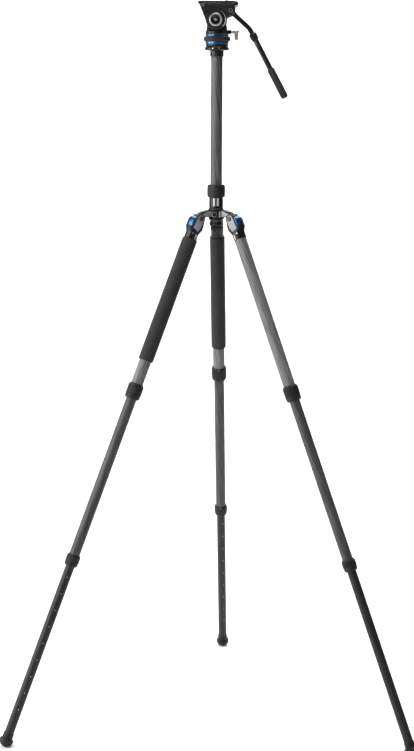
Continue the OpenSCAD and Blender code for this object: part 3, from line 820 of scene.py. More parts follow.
def shoulder_vf():
    prof = fillet([(16.65, PZ - 5, 0.3), (18, PZ - 5, 0.8), (19.5, PZ - 3, 1), (19.5, PZ + 18, 0.5), (21, PZ + 19.6, 0.6), (21, PZ + 24, 0.9),
                   (18.7, PZ + 26.6, 1.2), (18.7, 1425.6, 0.5), (18.1, 1426.1, 0.1), (18.1, 1448, 0.3), (16.65, 1448, 0.3)], seg=3)
    hub = lathe(prof, 128)
    ridge = []
    for x, z in ((40.8, 17.9), (45.2, 15.6), (49.6, 13.4)):
        ridge += [(x, z - 0.2, 0.2), (x + 0.9, z + 0.9, 0.3), (x + 2.7, z + 0.1, 0.3), (x + 3.3, z - 1.9, 0.2)]
    out = [(8, 3, 0), (8, 23, 0), (28, 22.6, 9), (39.0, 18.7, 2)] + ridge + [(55.2, 11.0, 0.6)]
    out = fillet(out + [(*p, 0) for p in arc(HR, 0, 11.45, 70, -145, 24)] + [(36, 3, 3)], seg=3)
    arm = prism([(x, z + PZ) for x, z in out], -9.95, 9.95, 1.2, 4)
    rec = arm_face(0.0)
    recs = [prism(rec, 9.45, 11, 0), prism(rec, -11, -9.45, 0)]
    arm = csg(arm, ("-", recs[0]), ("-", recs[1]))
    boss = move(prism(fillet([(-9, 1.2, 1.6), (13.2, 1.2, 1.6), (13.2, 19, 1.6), (-9, 19, 1.6)], seg=4), -22.6, -12, 0.9, 3), T(0, 0, PZ))
    ops = [("+", move(arm, R(az, "Z"))) for _, az in LEGS] + [("+", boss)]
    ops += [("-", cyl(16.65, PZ - 20, PZ + 100, 128))]
    ops += [("-", move(cyl_y(HR, PZ, -20, 20, 4.02, 48), R(az, "Z"))) for _, az in LEGS]
    ops += [("-", move(cyl(1.93, PZ + 22.6, PZ + 30, 32), T(x, -math.sqrt(361 - x * x), 0))) for x in (-8.5, 8.5)]
    return csg(hub, *ops)


def arm_face(d):
    P = fillet([(15, 4.2, 0), (15, 19.2, 0), (27.4, 18.9, 6), (40.0, 13.8, 2), (51.0, 8.9, 1.2), (47.8, 4.6, 2), (43.4, -2.4, 2), (39.8, 0.8, 2), (38.0, 4.2, 2)], seg=3)
    P = [(x, z + PZ) for x, z in P]
    return [tuple(p) for p in inset(P, d)] if d else P


make("shoulder_casting", *shoulder_vf(), AXIS, M_CAST, "shoulder", "black_casting", 38, ["shoulder"])
face = arm_face(0.1)
for leg, az in LEGS:
    for i, s_ in enumerate((-1, 1)):
        make(f"shoulder_arm_face_{leg}_{i}", *prism(face, s_ * 9.62 - 0.25, s_ * 9.62 + 0.25, 0.2, 2), AXIS @ R(az, "Z"), M_WEB, "shoulder", "steel", 40)
for k, az in enumerate((-90, 30, 150)):
    for j, s_ in enumerate((-4.7, 5.6) if k == 0 else (-5.1, 5.1)):
        turn = az + math.degrees(s_ / 18.7)
        make(f"neck_strip_{k}_{j}", *wrap_strip(18.3, 18.95, 5.6, 1403.5, 1424.4, 0.25), AXIS @ R(turn, "Z"), M_MARK, "shoulder", "steel", 40)
badge = prism(fillet([(-9.7, 3.9, 2.2), (2.7, 3.9, 2.2), (2.7, 15.9, 2.2), (-9.7, 15.9, 2.2)], seg=4), -23.1, -22.2, 0.35, 3)
badge = csg(badge, ("-", prism(fillet([(-8.4, 5.2, 1.2), (1.4, 5.2, 1.2), (1.4, 14.6, 1.2), (-8.4, 14.6, 1.2)], seg=4), -24, -22.0, 0)))
make("hub_badge", *badge, AXIS @ T(0, 0, PZ), M_STEEL, "shoulder", "steel", 40)
make("hub_strip", *prism(fillet([(8.8, 2.4, 1), (12.8, 2.4, 1), (12.8, 17.8, 1), (8.8, 17.8, 1)], seg=3), -22.95, -22.2, 0.3, 2), AXIS @ T(0, 0, PZ), M_WEB, "shoulder", "steel", 40)

bolts = []
for leg, az in LEGS:
    b_ = [cyl_y(HR, PZ, -17.2, 17.2, 3.98, 48)]
    for s_ in (-1, 1):
        b_.append(move(bolt_head, T(HR, s_ * 16.7, PZ) @ R(-90 * s_, "X")))
    bolts.append(move(csg(b_[0], ("+", b_[1]), ("+", b_[2])), R(az, "Z")))
make("leg_pivot_bolts_turned", *join(*bolts), AXIS, M_BOLT, "shoulder", "steel", 40, ["leg_pivot_bolts"])
# the small screw on each side of every fork, and the strip beside it
for leg, az in LEGS:
    for i, s_ in enumerate((-1, 1)):
        # on the round of the sleeve
        th = math.acos((9.0 - TU) / 17.4)
        Ms = LEG(az) @ T(TU, 0, 0) @ R(s_ * math.degrees(th), "Z") @ T(17.3, 0, -43.6) @ R(90, "Y")
        make(f"{leg}_clamp_screw_{i}", *screw_vf(2.4, 0.9, 1.2, 0.3, 40, 0.6), Ms, M_STEEL, f"{leg}_leg", "steel", 40)
        th = math.acos((-2.2 - TU) / 17.4)
        make(f"{leg}_clamp_strip_{i}", *wrap_strip(17.1, 17.8, 4.6, -57.6, -44.0, 0.25), LEG(az) @ T(TU, 0, 0) @ R(s_ * math.degrees(th), "Z"), M_MARK, f"{leg}_leg", "steel", 40)


def collar_vf():
    z0, z1 = 1426.3, 1460.0
    prof = [(18.35, z0, 0), (21.6, z0, 0.6), (22.7, z0 + 1.6, 0.8), (23.2, z0 + 3.2, 0.2)]
    for z in np.linspace(z0 + 4.2, z1 - 6.2, 12):
        t = (z - z0) / (z1 - z0)
        prof.append((23.35 + 0.65 * math.sin(math.pi * min(1.0, t * 1.05)), z, 0))
    prof += [(23.2, z1 - 5.2, 0.2), (22.9, z1 - 2.0, 0.8), (21.6, z1, 0.8), (15.85, z1, 0.4), (15.85, z0 + 22.7, 0), (18.35, z0 + 22.7, 0)]
    P = fillet(prof, seg=2)

    def rf(th, r, z, i):
        if r < 21.5:
            return r
        t = (z - z0 - 4.2) / (z1 - z0 - 10.4)
        if 0 <= t <= 1:
            e = min(1.0, min(t, 1 - t) / 0.08)
            fine = 0.5 + 0.5 * math.cos(54 * th)
            return r - 0.42 * e * fine ** 1.5
        if z > z1 - 5.0:
            return r - 0.9 * max(0.0, math.cos(9 * th + 4.71)) ** 6
        return r

    return lathe(P, 432, rf)


make("column_collar_ribbed", *collar_vf(), AXIS, M_RUBBER, "column_collar", "lock_rubber", 45, ["column_lock_collar"])
make("column_tube_skin", *move(tube_vf(15.5, 14.0, -(ZH - 12), -(PZ - 11)), Matrix.Identity(4)), AXIS, M_CARBON_COL, "column", "carbon", replaces=["column_tube"])
make("column_dot", *dome(1.25, 0.35), AXIS @ R(-97, "Z") @ T(15.45, 0, 1786.5) @ R(90, "Y"), M_MARK, "column", "carbon", 50)


def platform_vf():
    prof = fillet([(0, -26, 0), (17.2, -26, 0.8), (18, -25, 0.5), (18, -11.6, 1.6), (20.4, -10, 0.8), (platform_r - 2.2, -10, 2.0), (platform_r, -7.4, 2.2),
                   (platform_r, -4.2, 2.6), (platform_r - 2.4, -0.9, 1.4), (platform_r - 3.2, 0, 0.3), (0, 0, 0)], closed=False, seg=5)
    ops = [("-", cyl(15.52, -27, -12, 96)), ("-", cyl(4.8, -13, 8, 48))]
    ops += [("-", move(cyl(1.8, 0, 12, 24), R(a_, "Z") @ T(platform_r - 5, 0, -5.5) @ R(90, "Y"))) for a_ in (-107, 13, 133, -78, 42, 162)]
    # clamp slots in the boss
    ops += [("-", move(box_vf(14.0, 19, -1.7, 1.7, -27, -12.4), R(a_, "Z"))) for a_ in (-92, 28, 148)]
    ops += [("-", move(box_vf(17.3, 19, -0.5, 0.5, -26.5, -12.4), R(a_, "Z"))) for a_ in (-106, -78, 14, 42, 134, 162)]
    return csg(lathe(prof, 128, closed=False), *ops)


platform_r = 32.5
make("column_platform_cast", *platform_vf(), HEAD, M_CAST, "column", "black_casting", 38, ["column_platform"])
scr = [move(screw_vf(1.7, 5.2, 0.95, 0.35, 32, 1.0), R(a_, "Z") @ T(platform_r - 5, 0, -5.5) @ R(90, "Y")) for a_ in (-107, 13, 133, -78, 42, 162)]
make("platform_set_screws", *join(*scr), HEAD, M_STEEL, "column", "steel", 40, ["platform_screws"])
hub_scr = [move(screw_vf(1.85, 2.0, 0.95, 0.35, 32, 0.9), T(x, -math.sqrt(361 - x * x), PZ + 22.6)) for x in (-8.5, 8.5)]
make("shoulder_screw_heads", *join(*hub_scr), AXIS, M_STEEL, "shoulder", "steel", 40, ["shoulder_screws"])
stop_end = fillet([(0, PZ - 21, 0), (15.2, PZ - 21, 1.4), (17.5, PZ - 18.6, 1.2), (17.5, PZ - 11.1, 0.5), (13.95, PZ - 11.1, 0), (13.95, PZ + 6, 0.6), (0, PZ + 6, 0)], closed=False, seg=3)
make("column_end_cap", *csg(lathe(stop_end, 96, closed=False), ("-", cyl(3.4, PZ - 30, PZ - 17, 6)), ("-", cyl(12.8, PZ - 30, PZ - 20.2, 64))), AXIS, M_ANO, "column", "black_anodised", 38, ["column_end_stop"])

# ------------------------------------------------------------------ head, pan
base_prof = fillet([(0, 10, 0), (4.76, 10, 0), (4.76, 0, 0.3), (28.4, 0, 0.9), (29.5, 1.3, 0.6), (29.5, 5.5, 0.3), (20, 5.5, 0), (20, 26, 0.3), (12, 26, 0), (12, 34, 0.4), (0, 34, 0)], closed=False, seg=3)
make("head_base_turned", *lathe(base_prof, 128, closed=False), HEAD, M_ANO_DK, "column", "black_anodised", 38, ["head_base"])
make("lower_blue_ring", *lathe(fillet([(20.02, 5.52, 0), (30.0, 5.52, 0.6), (30.9, 6.6, 0.6), (31.0, 9.2, 0), (30.9, 11.9, 0.6), (30.0, 12.95, 0.6), (20.02, 12.95, 0)], seg=4), 160), HEAD, M_BLUE_RING, "column", "blue_anodised", 38, ["lower_trim_ring"])
make("upper_blue_ring", *lathe(fillet([(24.02, 26.32, 0), (30.2, 26.32, 0.5), (30.95, 27.2, 0.5), (31.0, 29.0, 0), (30.9, 30.8, 0.5), (30.1, 31.66, 0.5), (24.02, 31.66, 0)], seg=4), 160), HEAD, M_BLUE_RING, "pan", "blue_anodised", 38, ["upper_trim_ring"])


def drag_vf():
    prof = [(20.1, 13.35, 0), (33.0, 13.35, 0.7), (34.3, 14.6, 0.6), (34.4, 15.4, 0.1)]
    prof += [(35.4, z, 0) for z in np.linspace(16.0, 23.0, 9)]
    prof += [(34.4, 23.6, 0.1), (34.3, 24.4, 0.6), (33.0, 25.65, 0.7), (20.1, 25.65, 0)]

    def rf(th, r, z, i):
        if r < 35.3:
            return r
        a_ = math.cos(84 * th)
        d_ = 0.5 - 0.5 * math.tanh(3.5 * (a_ + 0.2))
        mid = abs(z - 19.5) < 0.5
        return r - (0.85 if d_ < 0.5 else 0.0) * (1 - d_) - (0.35 if mid else 0.0)

    return lathe(fillet(prof, seg=2), 84 * 8, rf)


make("pan_drag_ring_knurled", *drag_vf(), HEAD, M_ANO, "pan_drag", "black_anodised", 45, ["pan_drag_ring"])


def pan_vf():
    disc = lathe(fillet([(0, 26.35, 0), (23.98, 26.35, 0), (23.98, 31.7, 0), (30.5, 31.7, 0.4), (30.5, 38.2, 1.2), (29.3, 40, 0.8), (0, 40, 0)], closed=False, seg=3), 128, closed=False)
    out = [(-28.4, 36, 0), (-26, 50, 3), (-25.7, TH, 0)] + [(*p, 0) for p in arc(TX, TH, 24, 180, 0, 36)] + [(22.3, TH, 0), (26, 50, 3), (28.4, 36, 0)]
    upright = csg(prism(fillet(out, seg=3), -22, 22, 1.4, 4), ("&", cyl(30.1, 30, 110, 128)))
    boss = cyl_x(0, 37.6, 20, 37.7, 5.4, 64, 0.9)
    ops = [("+", upright), ("+", boss), ("-", cyl(12.06, 20, 35, 64)), ("-", cyl_y(TX, TH, -40, 40, 6.04, 48)), ("-", cyl_y(TX, TH, -14, 40, 18, 96)),
           ("-", cyl_x(0, 37.6, 30, 50, 3.04, 32))]
    # shallow pockets in the front and the back wall of the upright
    for s_ in (-1, 1):
        ops.append(("-", prism(fillet([(s_ * 40, -15, 0), (s_ * 40, 15, 0), (s_ * 25.2, 15, 1.5), (s_ * 25.2, -15, 1.5)], seg=2), 47, 66, 0, 2, "Z")))
    return csg(disc, *ops)


make("pan_housing_cast", *pan_vf(), HEAD, M_ANO_DK, "pan", "black_anodised", 38, ["pan_housing"])


def pan_lever_vf():
    shaft = cyl_x(0, 37.6, 31, 47, 3.0, 48)
    neck = cyl_x(0, 37.6, 41.6, 45.6, 4.7, 64, 0.9)
    paddle = prism(fillet([(45.4, 38.5, 1), (45.2, 30, 8), (45.9, 17.0, 1.6), (55.4, 17.0, 1.6), (56.0, 30, 8), (55.8, 38.5, 1)], seg=4), -4.2, 4.2, 1.3, 4)
    cap = move(lathe(fillet([(0, 35.8, 0), (6.2, 35.8, 0.8), (7.5, 37.3, 0.9), (7.3, 40.6, 1.0), (5.6, 42, 1.0), (0, 42.2, 0)], closed=False, seg=4), 80, closed=False), T(50.5, 0, 0))
    screw = move(cyl(2.2, 41.2, 44, 6), T(50.5, 0, 0))
    return csg(shaft, ("+", neck), ("+", paddle), ("+", cap), ("-", screw))


make("pan_lock_paddle", *pan_lever_vf(), HEAD, M_WARM, "pan_lever", "warm_alloy", 40, ["pan_lock_lever"])

# ------------------------------------------------------------------ head, tilt


def cradle_vf():
    out = [(-44.4, 109.8, 0.8), (-43.6, 103.6, 1.5), (-28.36, 65.22, 0)] + [(*p, 0) for p in arc(TX, TH, 26.8, 187, 369, 48)] + \
          [(26.8, 75, 2), (43, 81.6, 3), (47.5, 97, 4), (47.5, 109.8, 0.8)]
    out = fillet(out, seg=4)
    ops = []
    cheeks = [prism(out, 24.5, 32, 1.1, 4), prism(out, -32, -24.5, 1.1, 4)]
    slab = prism(fillet([(-44.6, -32.6, 3), (47.8, -32.6, 3), (47.8, 32.6, 3), (-44.6, 32.6, 3)], seg=5), 103.8, 110, 0.8, 3, "Z")
    ops += [("+", cheeks[1]), ("+", slab)]
    for s_ in (-1, 1):
        ops.append(("+", cyl_y(TX, TH, min(22.3 * s_, 25 * s_), max(22.3 * s_, 25 * s_), 12, 64)))
        V, F = prism([(22.5, 109.5), (30, 109.5), (29.3, 113.8), (19.9, 113.8)], -40, 44, 0)
        # the rail's section lies in x, z here, and is turned to run along x
        V = [(y, s_ * x, z) for x, y, z in V]
        ops.append(("+", (V, F)))
    ear = prism(fillet([(43, 105, 0.5), (53.5, 105, 1.5), (56, 107, 2), (56, 113.4, 1.2), (43, 113.4, 0.5)], seg=3), -31.5, -26.3, 0.6, 3)
    ops.append(("+", ear))
    ops.append(("+", cyl_y(37.2, 91.4, 31.5, 36, 9.5, 72, 0.6)))
    ops.append(("+", cyl_y(37.2, 91.4, -33.4, -31.5, 7.6, 72, 0.5)))
    ops.append(("-", cyl_y(TX, TH, -40, 31, 6, 48)))
    for s_ in (-1, 1):
        ring = lathe([(27.6, 29.4), (33.4, 29.4), (34.0, 33), (27.0, 33)], 144)
        ring = move(ring, T(TX, 0, TH) @ R(-90, "X"))
        ring = csg(ring, ("&", move(box_vf(-38.3, 20.5, 20, 40, -3.5, 36.5), T(TX, 0, TH))))
        if s_ < 0:
            ring = ([(x, -y, z) for x, y, z in ring[0]], [tuple(reversed(f)) for f in ring[1]])
        ops.append(("-", ring))
        # a shallow panel below the slab
        pan_ = prism(fillet([(-29.0, 103.3, 1), (30, 103.3, 1), (30, 101.2, 1), (-28.2, 101.2, 1)], seg=2), 31.3 if s_ > 0 else -33, 33 if s_ > 0 else -31.3, 0)
        ops.append(("-", pan_))
    ops.append(("-", cyl_y(37.2, 91.4, 26, 37, 4.02, 48)))
    ops.append(("-", cyl_y(37.2, 91.4, -34, -26, 3.22, 32)))
    ops.append(("-", cyl_y(-35.2, 105.5, -34, -26, 2.62, 32)))
    ops.append(("-", move(cyl(2.86, 103, 107.3, 32), T(52.5, -28.9, 0))))
    ops.append(("-", cyl_y(51.5, 109.4, -32, -26, 2.06, 32)))
    return csg(cheeks[0], *ops)


make("tilt_cradle_cast", *cradle_vf(), HEAD, M_ANO, "cradle", "black_anodised", 38, ["tilt_cradle"])
c_bolts = [
    csg(cyl_y(-35.2, 105.5, -32.5, -26.5, 2.58, 32), ("+", move(screw_vf(4.6, 2.4, 2.2, 0.7, 64, 1.5), T(-35.2, -32, 105.5) @ R(90, "X")))),
    csg(cyl_y(37.2, 91.4, -34, -26.5, 3.18, 32), ("+", move(screw_vf(5.4, 2.6, 2.7, 0.8, 64, 1.5), T(37.2, -33.4, 91.4) @ R(90, "X")))),
    csg(cyl_y(37.2, 91.4, 26.5, HY + 9, 3.98, 32), ("+", move(screw_vf(7.5, 3.6, 3.4, 1.0, 64, 2.0), T(37.2, HY + 8.4, 91.4) @ R(-90, "X")))),
]
make("cradle_bolts_turned", *join(*c_bolts), HEAD, M_ANO_DK, "cradle", "steel", 40, ["cradle_bolts"])
for i, (x_, z_, y_, r_) in enumerate(((-35.2, 105.5, -34.4, 4.0), (37.2, 91.4, -36.0, 4.7))):
    ring_b = lathe(fillet([(r_ - 1.3, y_ - 0.12, 0.05), (r_, y_ - 0.12, 0.05), (r_, y_ + 0.4, 0), (r_ - 1.3, y_ + 0.4, 0)], seg=2), 64)
    make(f"cradle_bolt_ring_{i}", *move(ring_b, T(x_, 0, z_) @ R(-90, "X")), HEAD, M_STEEL, "cradle", "steel", 40)

# knob: a bright fluted rim round a black dished centre, axis along -Y at the tilt axle
KNOB = TILT @ T(0, -32.2, 0) @ R(90, "X")


def rim_vf():
    prof = [(12.9, 0.3, 0), (16.4, 0.05, 0.3), (16.9, 0.6, 0.2), (16.9, 1.6, 0), (16.9, 3.2, 0), (16.9, 4.8, 0), (16.9, 6.2, 0), (16.9, 7.2, 0.4), (15.7, 8.6, 0.8), (13.4, 8.6, 0.6), (12.9, 7.9, 0.2)]

    def rf(th, r, z, i):
        if r > 16.6 and 1.2 < z < 6.6:
            return r - 0.4 * max(0.0, math.cos(12 * th)) ** 10
        return r

    return lathe(fillet(prof, seg=3), 240, rf)


make("tilt_knob_rim", *rim_vf(), KNOB, M_STEEL, "tilt_knob", "steel", 40, ["tilt_drag_knob"])
cap_p = fillet([(0, 0.1, 0), (12.85, 0.1, 0), (12.85, 7.4, 0.4), (12.2, 7.4, 0.4), (11.2, 5.4, 0.8), (8.6, 4.9, 0.4), (8.2, 5.5, 0.3), (4.9, 5.5, 0.3), (4.5, 5.0, 0.3), (0, 5.0, 0)], closed=False, seg=3)
make("tilt_knob_cap", *lathe(cap_p, 128, closed=False), KNOB, M_CAST, "tilt_knob", "black_casting", 40)
make("tilt_knob_centre", *screw_vf(3.6, 1.5, 1.7, 0.5, 64, 0.9), KNOB @ T(0, 0, 4.9), M_STEEL, "tilt_knob", "steel", 40)
tick_v = []
for k in range(11):
    a_ = math.radians(150 - 12 * k)
    L_ = 2.0 if k % 5 == 0 else 1.2
    tick_v.append(move(box_vf(8.95, 8.95 + L_, -0.22, 0.22, 4.6, 5.12 if k % 5 else 5.2), R(math.degrees(a_), "Z")))
make("tilt_knob_ticks", *join(*tick_v), KNOB, M_MARK, "tilt_knob", "steel", 30)

# lever: a black ring round the knob with a curved blade that ends in a bright edge
LEVER = TILT @ T(0, 0, 0)


def sector(r0, r1, a0, a1, n=40):
    return arc(0, 0, r1, a0, a1, n) + arc(0, 0, r0, a1, a0, n)


ring_l = csg(prism([(19.6 * math.cos(t), 19.6 * math.sin(t)) for t in np.linspace(0, 2 * math.pi, 97)[:-1]], -35.3, -32.5, 0.5, 3), ("-", cyl_y(0, 0, -40, -30, 17.25, 96)))
arm_l = prism(fillet([(18.0, -2.8, 0), (24.4, -2.6, 0), (24.4, 2.6, 0), (18.0, 2.8, 0)], seg=1), -35.2, -32.6, 0.3, 2)
arm_l = move(arm_l, R(-8, "Y"))
blade = prism(clean(fillet([(*p, 0) for p in sector(22.9, 25.0, -40, 57, 44)], seg=1)), -35.1, -32.7, 0.5, 3)
make("tilt_lever_ring", *csg(ring_l, ("+", arm_l), ("+", blade)), LEVER, M_ANO, "tilt_lever", "black_anodised", 40, ["tilt_lock_lever"])
edge_pts = arc(0, 0, 26.3, -36, 57, 40) + arc(0, 0, 24.7, 57, -30, 40) + [(24.7 * math.cos(math.radians(-33)), 24.7 * math.sin(math.radians(-33)))] + arc(0, 0, 22.6, -36, -41.5, 4) + arc(0, 0, 26.0, -42.5, -38, 4)
make("tilt_lever_edge", *prism(clean(edge_pts), -35.9, -33.1, 0.45, 3), LEVER, M_STEEL, "tilt_lever", "steel", 40)

# ------------------------------------------------------------------ plate


def plate_vf():
    P = fillet([(-21.5, 110.25, 0.3), (21.5, 110.25, 0.3), (19.2, 113.8, 0.2), (19.2, 114.1, 0.1), (26, 114.1, 0.5), (26, 117, 0.7), (-26, 117, 0.7), (-26, 114.1, 0.5), (-19.2, 114.1, 0.1), (-19.2, 113.8, 0.2)], seg=3)
    V, F = prism(P, -49.3, 48.7, 0.6, 3)
    V = [(y, x, z) for x, y, z in V]
    lip = box_vf(-49.2, -45.5, -24, 24, 110.7, 115.0)
    slot_top = prism([(6, -3.4)] + arc(40, 0, 3.4, -90, 90, 12) + arc(6, 0, 3.4, 90, 270, 12), 100, 125, 0, 2, "Z")
    slot_low = prism(arc(40, 0, 8.4, -90, 90, 16) + arc(6, 0, 8.4, 90, 270, 16), 100, 113.6, 0, 2, "Z")
    pads = [prism(fillet([(-44.0, s_ * 9.5, 2), (43.6, s_ * 9.5, 2), (43.6, s_ * 23.4, 2), (-44.0, s_ * 23.4, 2)], seg=3), 116.5, 118, 0, 2, "Z") for s_ in (-1, 1)]
    return csg((V, F), ("+", lip), ("-", slot_top), ("-", slot_low), ("-", pads[0]), ("-", pads[1]))


make("quick_plate_milled", *plate_vf(), HEAD, M_ANO, "plate", "black_anodised", 38, ["quick_release_plate"])
for i, s_ in enumerate((-1, 1)):
    base_ = prism(fillet([(-43.8, s_ * 9.7, 1.9), (43.4, s_ * 9.7, 1.9), (43.4, s_ * 23.2, 1.9), (-43.8, s_ * 23.2, 1.9)], seg=3), 116.45, 117.0, 0.1, 1, "Z")
    ribs_ = [move(box_vf(-42.6 + k * 3.05, -42.6 + k * 3.05 + 1.7, min(s_ * 10.6, s_ * 22.4), max(s_ * 10.6, s_ * 22.4), 116.9, 117.45), Matrix.Identity(4)) for k in range(28)]
    make(f"plate_rubber_pad_{i}", *join(base_, *ribs_), HEAD, M_GRIP, "plate", "grip_rubber", 38)


def camera_screw_vf():
    head_ = lathe(fillet([(0, 110.65, 0), (7.3, 110.65, 0.5), (7.9, 111.3, 0.3), (7.9, 112.9, 0.2), (3.0, 113.1, 0), (3.0, 114, 0), (0, 114, 0)], closed=False, seg=2), 96,
                  lambda th, r, z, i: r - 0.35 * max(0.0, math.cos(36 * th)) if r > 7.85 else r, closed=False)
    head_ = csg(head_, ("-", box_vf(-0.8, 0.8, -10, 10, 109, 111.8)))
    zs = np.arange(113.2, 122.01, 0.14)
    prof = [(0, 113.2)] + [(3.17, z) for z in zs] + [(2.75, 122.35), (2.3, 122.5), (0, 122.5)]

    def rf(th, r, z, i):
        if r < 3.1:
            return r
        if z < 117.4:
            return 2.95
        ph = ((z - 1.27 * th / (2 * math.pi)) / 1.27) % 1.0
        return 3.17 - 0.62 * abs(2 * ph - 1) - (0.5 * max(0.0, (z - 121.2)) / 1.2)

    return join(head_, lathe(prof, 48, rf, closed=False))


make("camera_screw_threaded", *camera_screw_vf(), HEAD @ T(25, 0, 0), M_STEEL, "camera_bolt", "steel", 60, ["camera_screw"])


def pknob_vf():
    prof = fillet([(0, -32.35, 0), (4.6, -32.35, 0.3), (5.2, -33.0, 0.3), (5.6, -33.6, 0), (5.6, -34.8, 0), (5.6, -36.0, 0), (5.6, -37.1, 0.2), (4.7, -38.45, 0.9), (0, -38.45, 0)], closed=False, seg=3)
    V, F = lathe([(r, -y) for r, y in prof], 120, lambda th, r, z, i: r - 0.5 * max(0.0, math.cos(15 * th)) ** 2 if r > 5.3 else r, closed=False)
    V = [(x, -z, y) for x, y, z in V]
    return join((V, F), cyl_y(0, 0, -32.3, -26.4, 1.98, 32))


make("plate_knob_fluted", *pknob_vf(), HEAD @ T(51.5, 0, 109.4), M_ANO_DK, "plate_knob", "black_anodised", 40, ["plate_lock_knob"])
make("release_button_cap", *lathe(fillet([(0, 99.85, 0), (2.1, 99.85, 0.8), (2.8, 100.6, 0.6), (2.8, 105.15, 0.2), (0, 105.15, 0)], closed=False, seg=4), 64, closed=False), HEAD @ T(52.5, -28.9, 0), M_GREY, "release_button", "grey_plastic", 40, ["plate_release_button"])

# ------------------------------------------------------------------ handle
s1, s2 = math.radians(42), math.radians(62)
P0 = Vector((37.2, HY, 91.4))
PB = Vector((84.9, HY, 91.4 - (84.9 - 37.2) * math.tan(s1)))
d1, d2 = Vector((math.cos(s1), 0, -math.sin(s1))), Vector((math.cos(s2), 0, -math.sin(s2)))
pth = [P0 + d1 * t for t in np.linspace(0, (PB - P0).length - 9, 8)]
for t in np.linspace(0, 1, 13)[1:]:
    a_, b_, c_ = PB - d1 * 9, PB, PB + d2 * 9
    pth.append(a_ * (1 - t) ** 2 + b_ * 2 * t * (1 - t) + c_ * t * t)
pth += [PB + d2 * t for t in np.linspace(9, 121.4, 12)[1:]] + [PB + d2 * 122]
rad = [6.5] * (len(pth) - 1) + [6.0]
bar = sweep(pth, rad, 64)
knuckle = cyl_y(37.2, 91.4, 36.2, HY + 8.2, 9.5, 96, 1.0)
groove = lathe([(9.0, 0), (10.5, 0), (10.5, 0.8), (9.0, 0.8)], 96)
web = prism(fillet([(37.2 + 2, 91.4 + 9.0, 2), (37.2 + 14, 91.4 - 3.0, 3), (37.2 + 9.2, 91.4 - 13.8, 3), (37.2 - 4.0, 91.4 - 8.6, 2)], seg=4), HY - 6.2, HY + 6.2, 2.2, 4)
make("handle_bar_bent", *csg(bar, ("+", knuckle), ("+", web), ("-", move(groove, T(37.2, 40.6, 91.4) @ R(-90, "X"))), ("-", cyl_y(37.2, 91.4, 30, HY + 20, 4.02, 48))), HEAD, M_BAR, "handle", "handle_black", 35, ["handle_bar"])


def hcollar_vf():
    prof = [(6.85, 13, 0), (8.2, 13, 0.4), (9.4, 14.6, 0.4)] + [(10.3, z, 0) for z in np.linspace(16.2, 28.4, 9)] + [(9.5, 29.8, 0.2), (9.1, 30.6, 0.2), (9.5, 31.2, 0.2), (9.5, 33, 0.4), (8.7, 34.1, 0.4), (7.5, 34.1, 0), (7.5, 18, 0), (6.85, 18, 0)]

    def rf(th, r, z, i):
        if r < 10.2:
            return r
        t = (z - 16.2) / 12.2
        tw = th + 0.20 * (t - 0.5)
        lobe = 0.5 + 0.5 * math.cos(6 * tw)
        return r + 0.05 - 1.25 * (1 - lobe) ** 1.6 * math.sin(math.pi * (0.12 + 0.76 * t))

    return lathe(fillet(prof, seg=2), 192, rf)


make("handle_collar_lobed", *hcollar_vf(), BEND, M_ANO, "handle_collar", "lock_rubber", 40, ["handle_lock_collar"])
make("handle_tube_skin", *lathe(fillet([(7.4, 18.3, 0.3), (7.4, 60, 0), (7.4, 120, 0), (7.4, 200.2, 0.3), (6.6, 200.2, 0.2), (6.6, 18.3, 0.2)], seg=2), 96), BEND, M_BAR, "handle_slide", "handle_black", 40, ["handle_tube"])


def grip_vf():
    prof = [(7.42, 117, 0), (8.0, 117, 0.4), (8.8, 118.6, 0.6), (9.9, 122.6, 2.0)]
    prof += [(10.0, z, 0) for z in np.linspace(126, 190, 34)]
    prof += [(9.95, 195.5, 1.5), (9.2, 201.4, 2.4), (7.2, 204, 1.8), (0, 204, 0), (0, 200.4, 0), (7.42, 200.4, 0)]
    P = fillet(prof, seg=3)

    def rf(th, r, z, i):
        if r < 9.98 or z > 191:
            return r
        t = (z - 126) / 64.0
        return r - 0.25 * math.sin(math.pi * t) * (0.5 + 0.5 * math.cos(2 * th)) - 0.16 * (0.5 + 0.5 * math.cos(20 * th)) ** 3

    V, F = lathe([p for p in P], 160, rf)
    return V, F


make("handle_grip_moulded", *grip_vf(), BEND, M_GRIP, "handle_slide", "grip_rubber", 40, ["handle_grip"])

# ------------------------------------------------------------------ marks on the leg tubes
for leg, az in LEGS:
    turn = {"left": 76, "right": 75, "back": 206}[leg]
    ws = np.arange(1010, 1400, 46.0)
    dots = [move(dome(1.15, 0.25, 20), R(turn, "Z") @ T(12.28, 0, -w) @ R(90, "Y")) for w in ws]
    make(f"{leg}_length_marks", *join(*dots), TUBE(az), M_MARK, f"{leg}_lower", "carbon", 50)
    for nm, w, out_, b_ in (("upper", 469, 20.65, f"{leg}_upper_collar"), ("lower", 948, 18.35, f"{leg}_lower_collar")):
        tm = {"left": 250, "right": 110, "back": 180}[leg]
        make(f"{leg}_{nm}_collar_mark", *wrap_strip(out_ - 1.35, out_ - 0.95, 3.2, -(w + 3.6), -(w + 2.3), 0.08, 4), TUBE(az) @ R(tm, "Z"), M_MARK, b_, "lock_rubber", 40)

# ------------------------------------------------------------------ stage and light
floor_mat = Nodes("floor_paper")
fn = floor_mat.noise(floor_mat.tc.outputs["Object"], 3.0, 2.0)
floor_mat.link(floor_mat.ramp(fn, [(0.3, (0.80, 0.80, 0.80)), (0.7, (0.84, 0.84, 0.845))]), floor_mat.p.inputs["Base Color"])
floor_mat.p.inputs["Roughness"].default_value = 0.9
floor_mat.p.inputs["Specular IOR Level"].default_value = 0.1

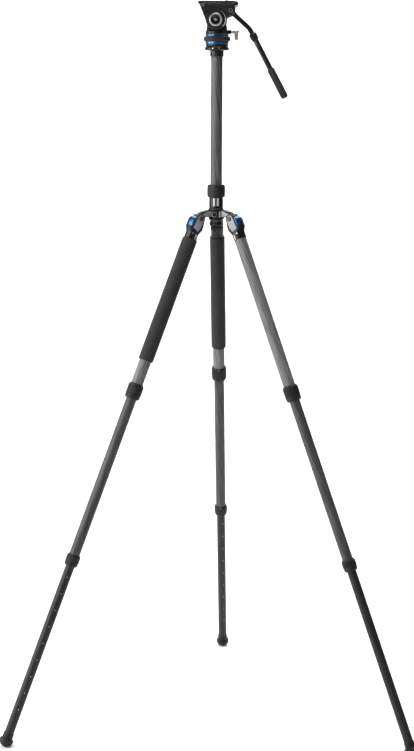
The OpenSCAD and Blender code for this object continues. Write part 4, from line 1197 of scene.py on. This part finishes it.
# floor and backdrop in one curved sheet
prof = [(-6.0, 0.0), (2.4, 0.0)]
for k in range(1, 17):
    a_ = math.pi / 2 * k / 16
    prof.append((2.4 + 1.6 * math.sin(a_), 1.6 - 1.6 * math.cos(a_)))
prof.append((4.0, 6.0))
V, F = [], []
for x in (-7.0, 7.0):
    V += [(x, y, z - 0.0005) for y, z in prof]
n_ = len(prof)
F = [(k, k + 1, n_ + k + 1, n_ + k) for k in range(n_ - 1)]
me = bpy.data.meshes.new("floor")
me.from_pydata(V, [], F)
for p in me.polygons:
    p.use_smooth = True
me.materials.append(floor_mat.m)
floor = bpy.data.objects.new("floor", me)
bpy.context.scene.collection.objects.link(floor)


def area(name, loc, target, size, power, colour=(1, 1, 1), size_y=None, spread=None):
    d = bpy.data.lights.new(name, "AREA")
    d.shape = "RECTANGLE"
    d.size, d.size_y = size, size_y or size
    d.energy = power
    d.color = colour
    if spread:
        d.spread = math.radians(spread)
    o = bpy.data.objects.new(name, d)
    bpy.context.scene.collection.objects.link(o)
    o.location = loc
    v = Vector(target) - Vector(loc)
    o.rotation_euler = v.to_track_quat("-Z", "Y").to_euler()
    return o


area("key_left", (-2.7, -2.8, 2.3), (0, 0, 1.1), 1.6, 130, (1, 1, 1), 2.8)
area("side_left", (-3.6, -0.9, 1.7), (0, 0, 1.0), 0.7, 105, (1, 1, 1), 2.8)
area("fill_right", (3.2, -2.4, 1.8), (0, 0, 1.0), 0.5, 6, (1, 1, 1), 2.2)
area("top", (0.0, -0.2, 4.4), (0, 0.2, 0.0), 2.6, 34, (1, 1, 1), spread=110)
area("backdrop", (0.0, 1.2, 4.6), (0, 3.9, 1.2), 4.0, 300, (1, 1, 1), 1.0)
world = bpy.data.worlds.new("studio")
bpy.context.scene.world = world
world.use_nodes = True
world.node_tree.nodes["Background"].inputs["Color"].default_value = (0.92, 0.94, 0.97, 1)
world.node_tree.nodes["Background"].inputs["Strength"].default_value = 0.16
bpy.context.scene.view_settings.view_transform = "Standard"
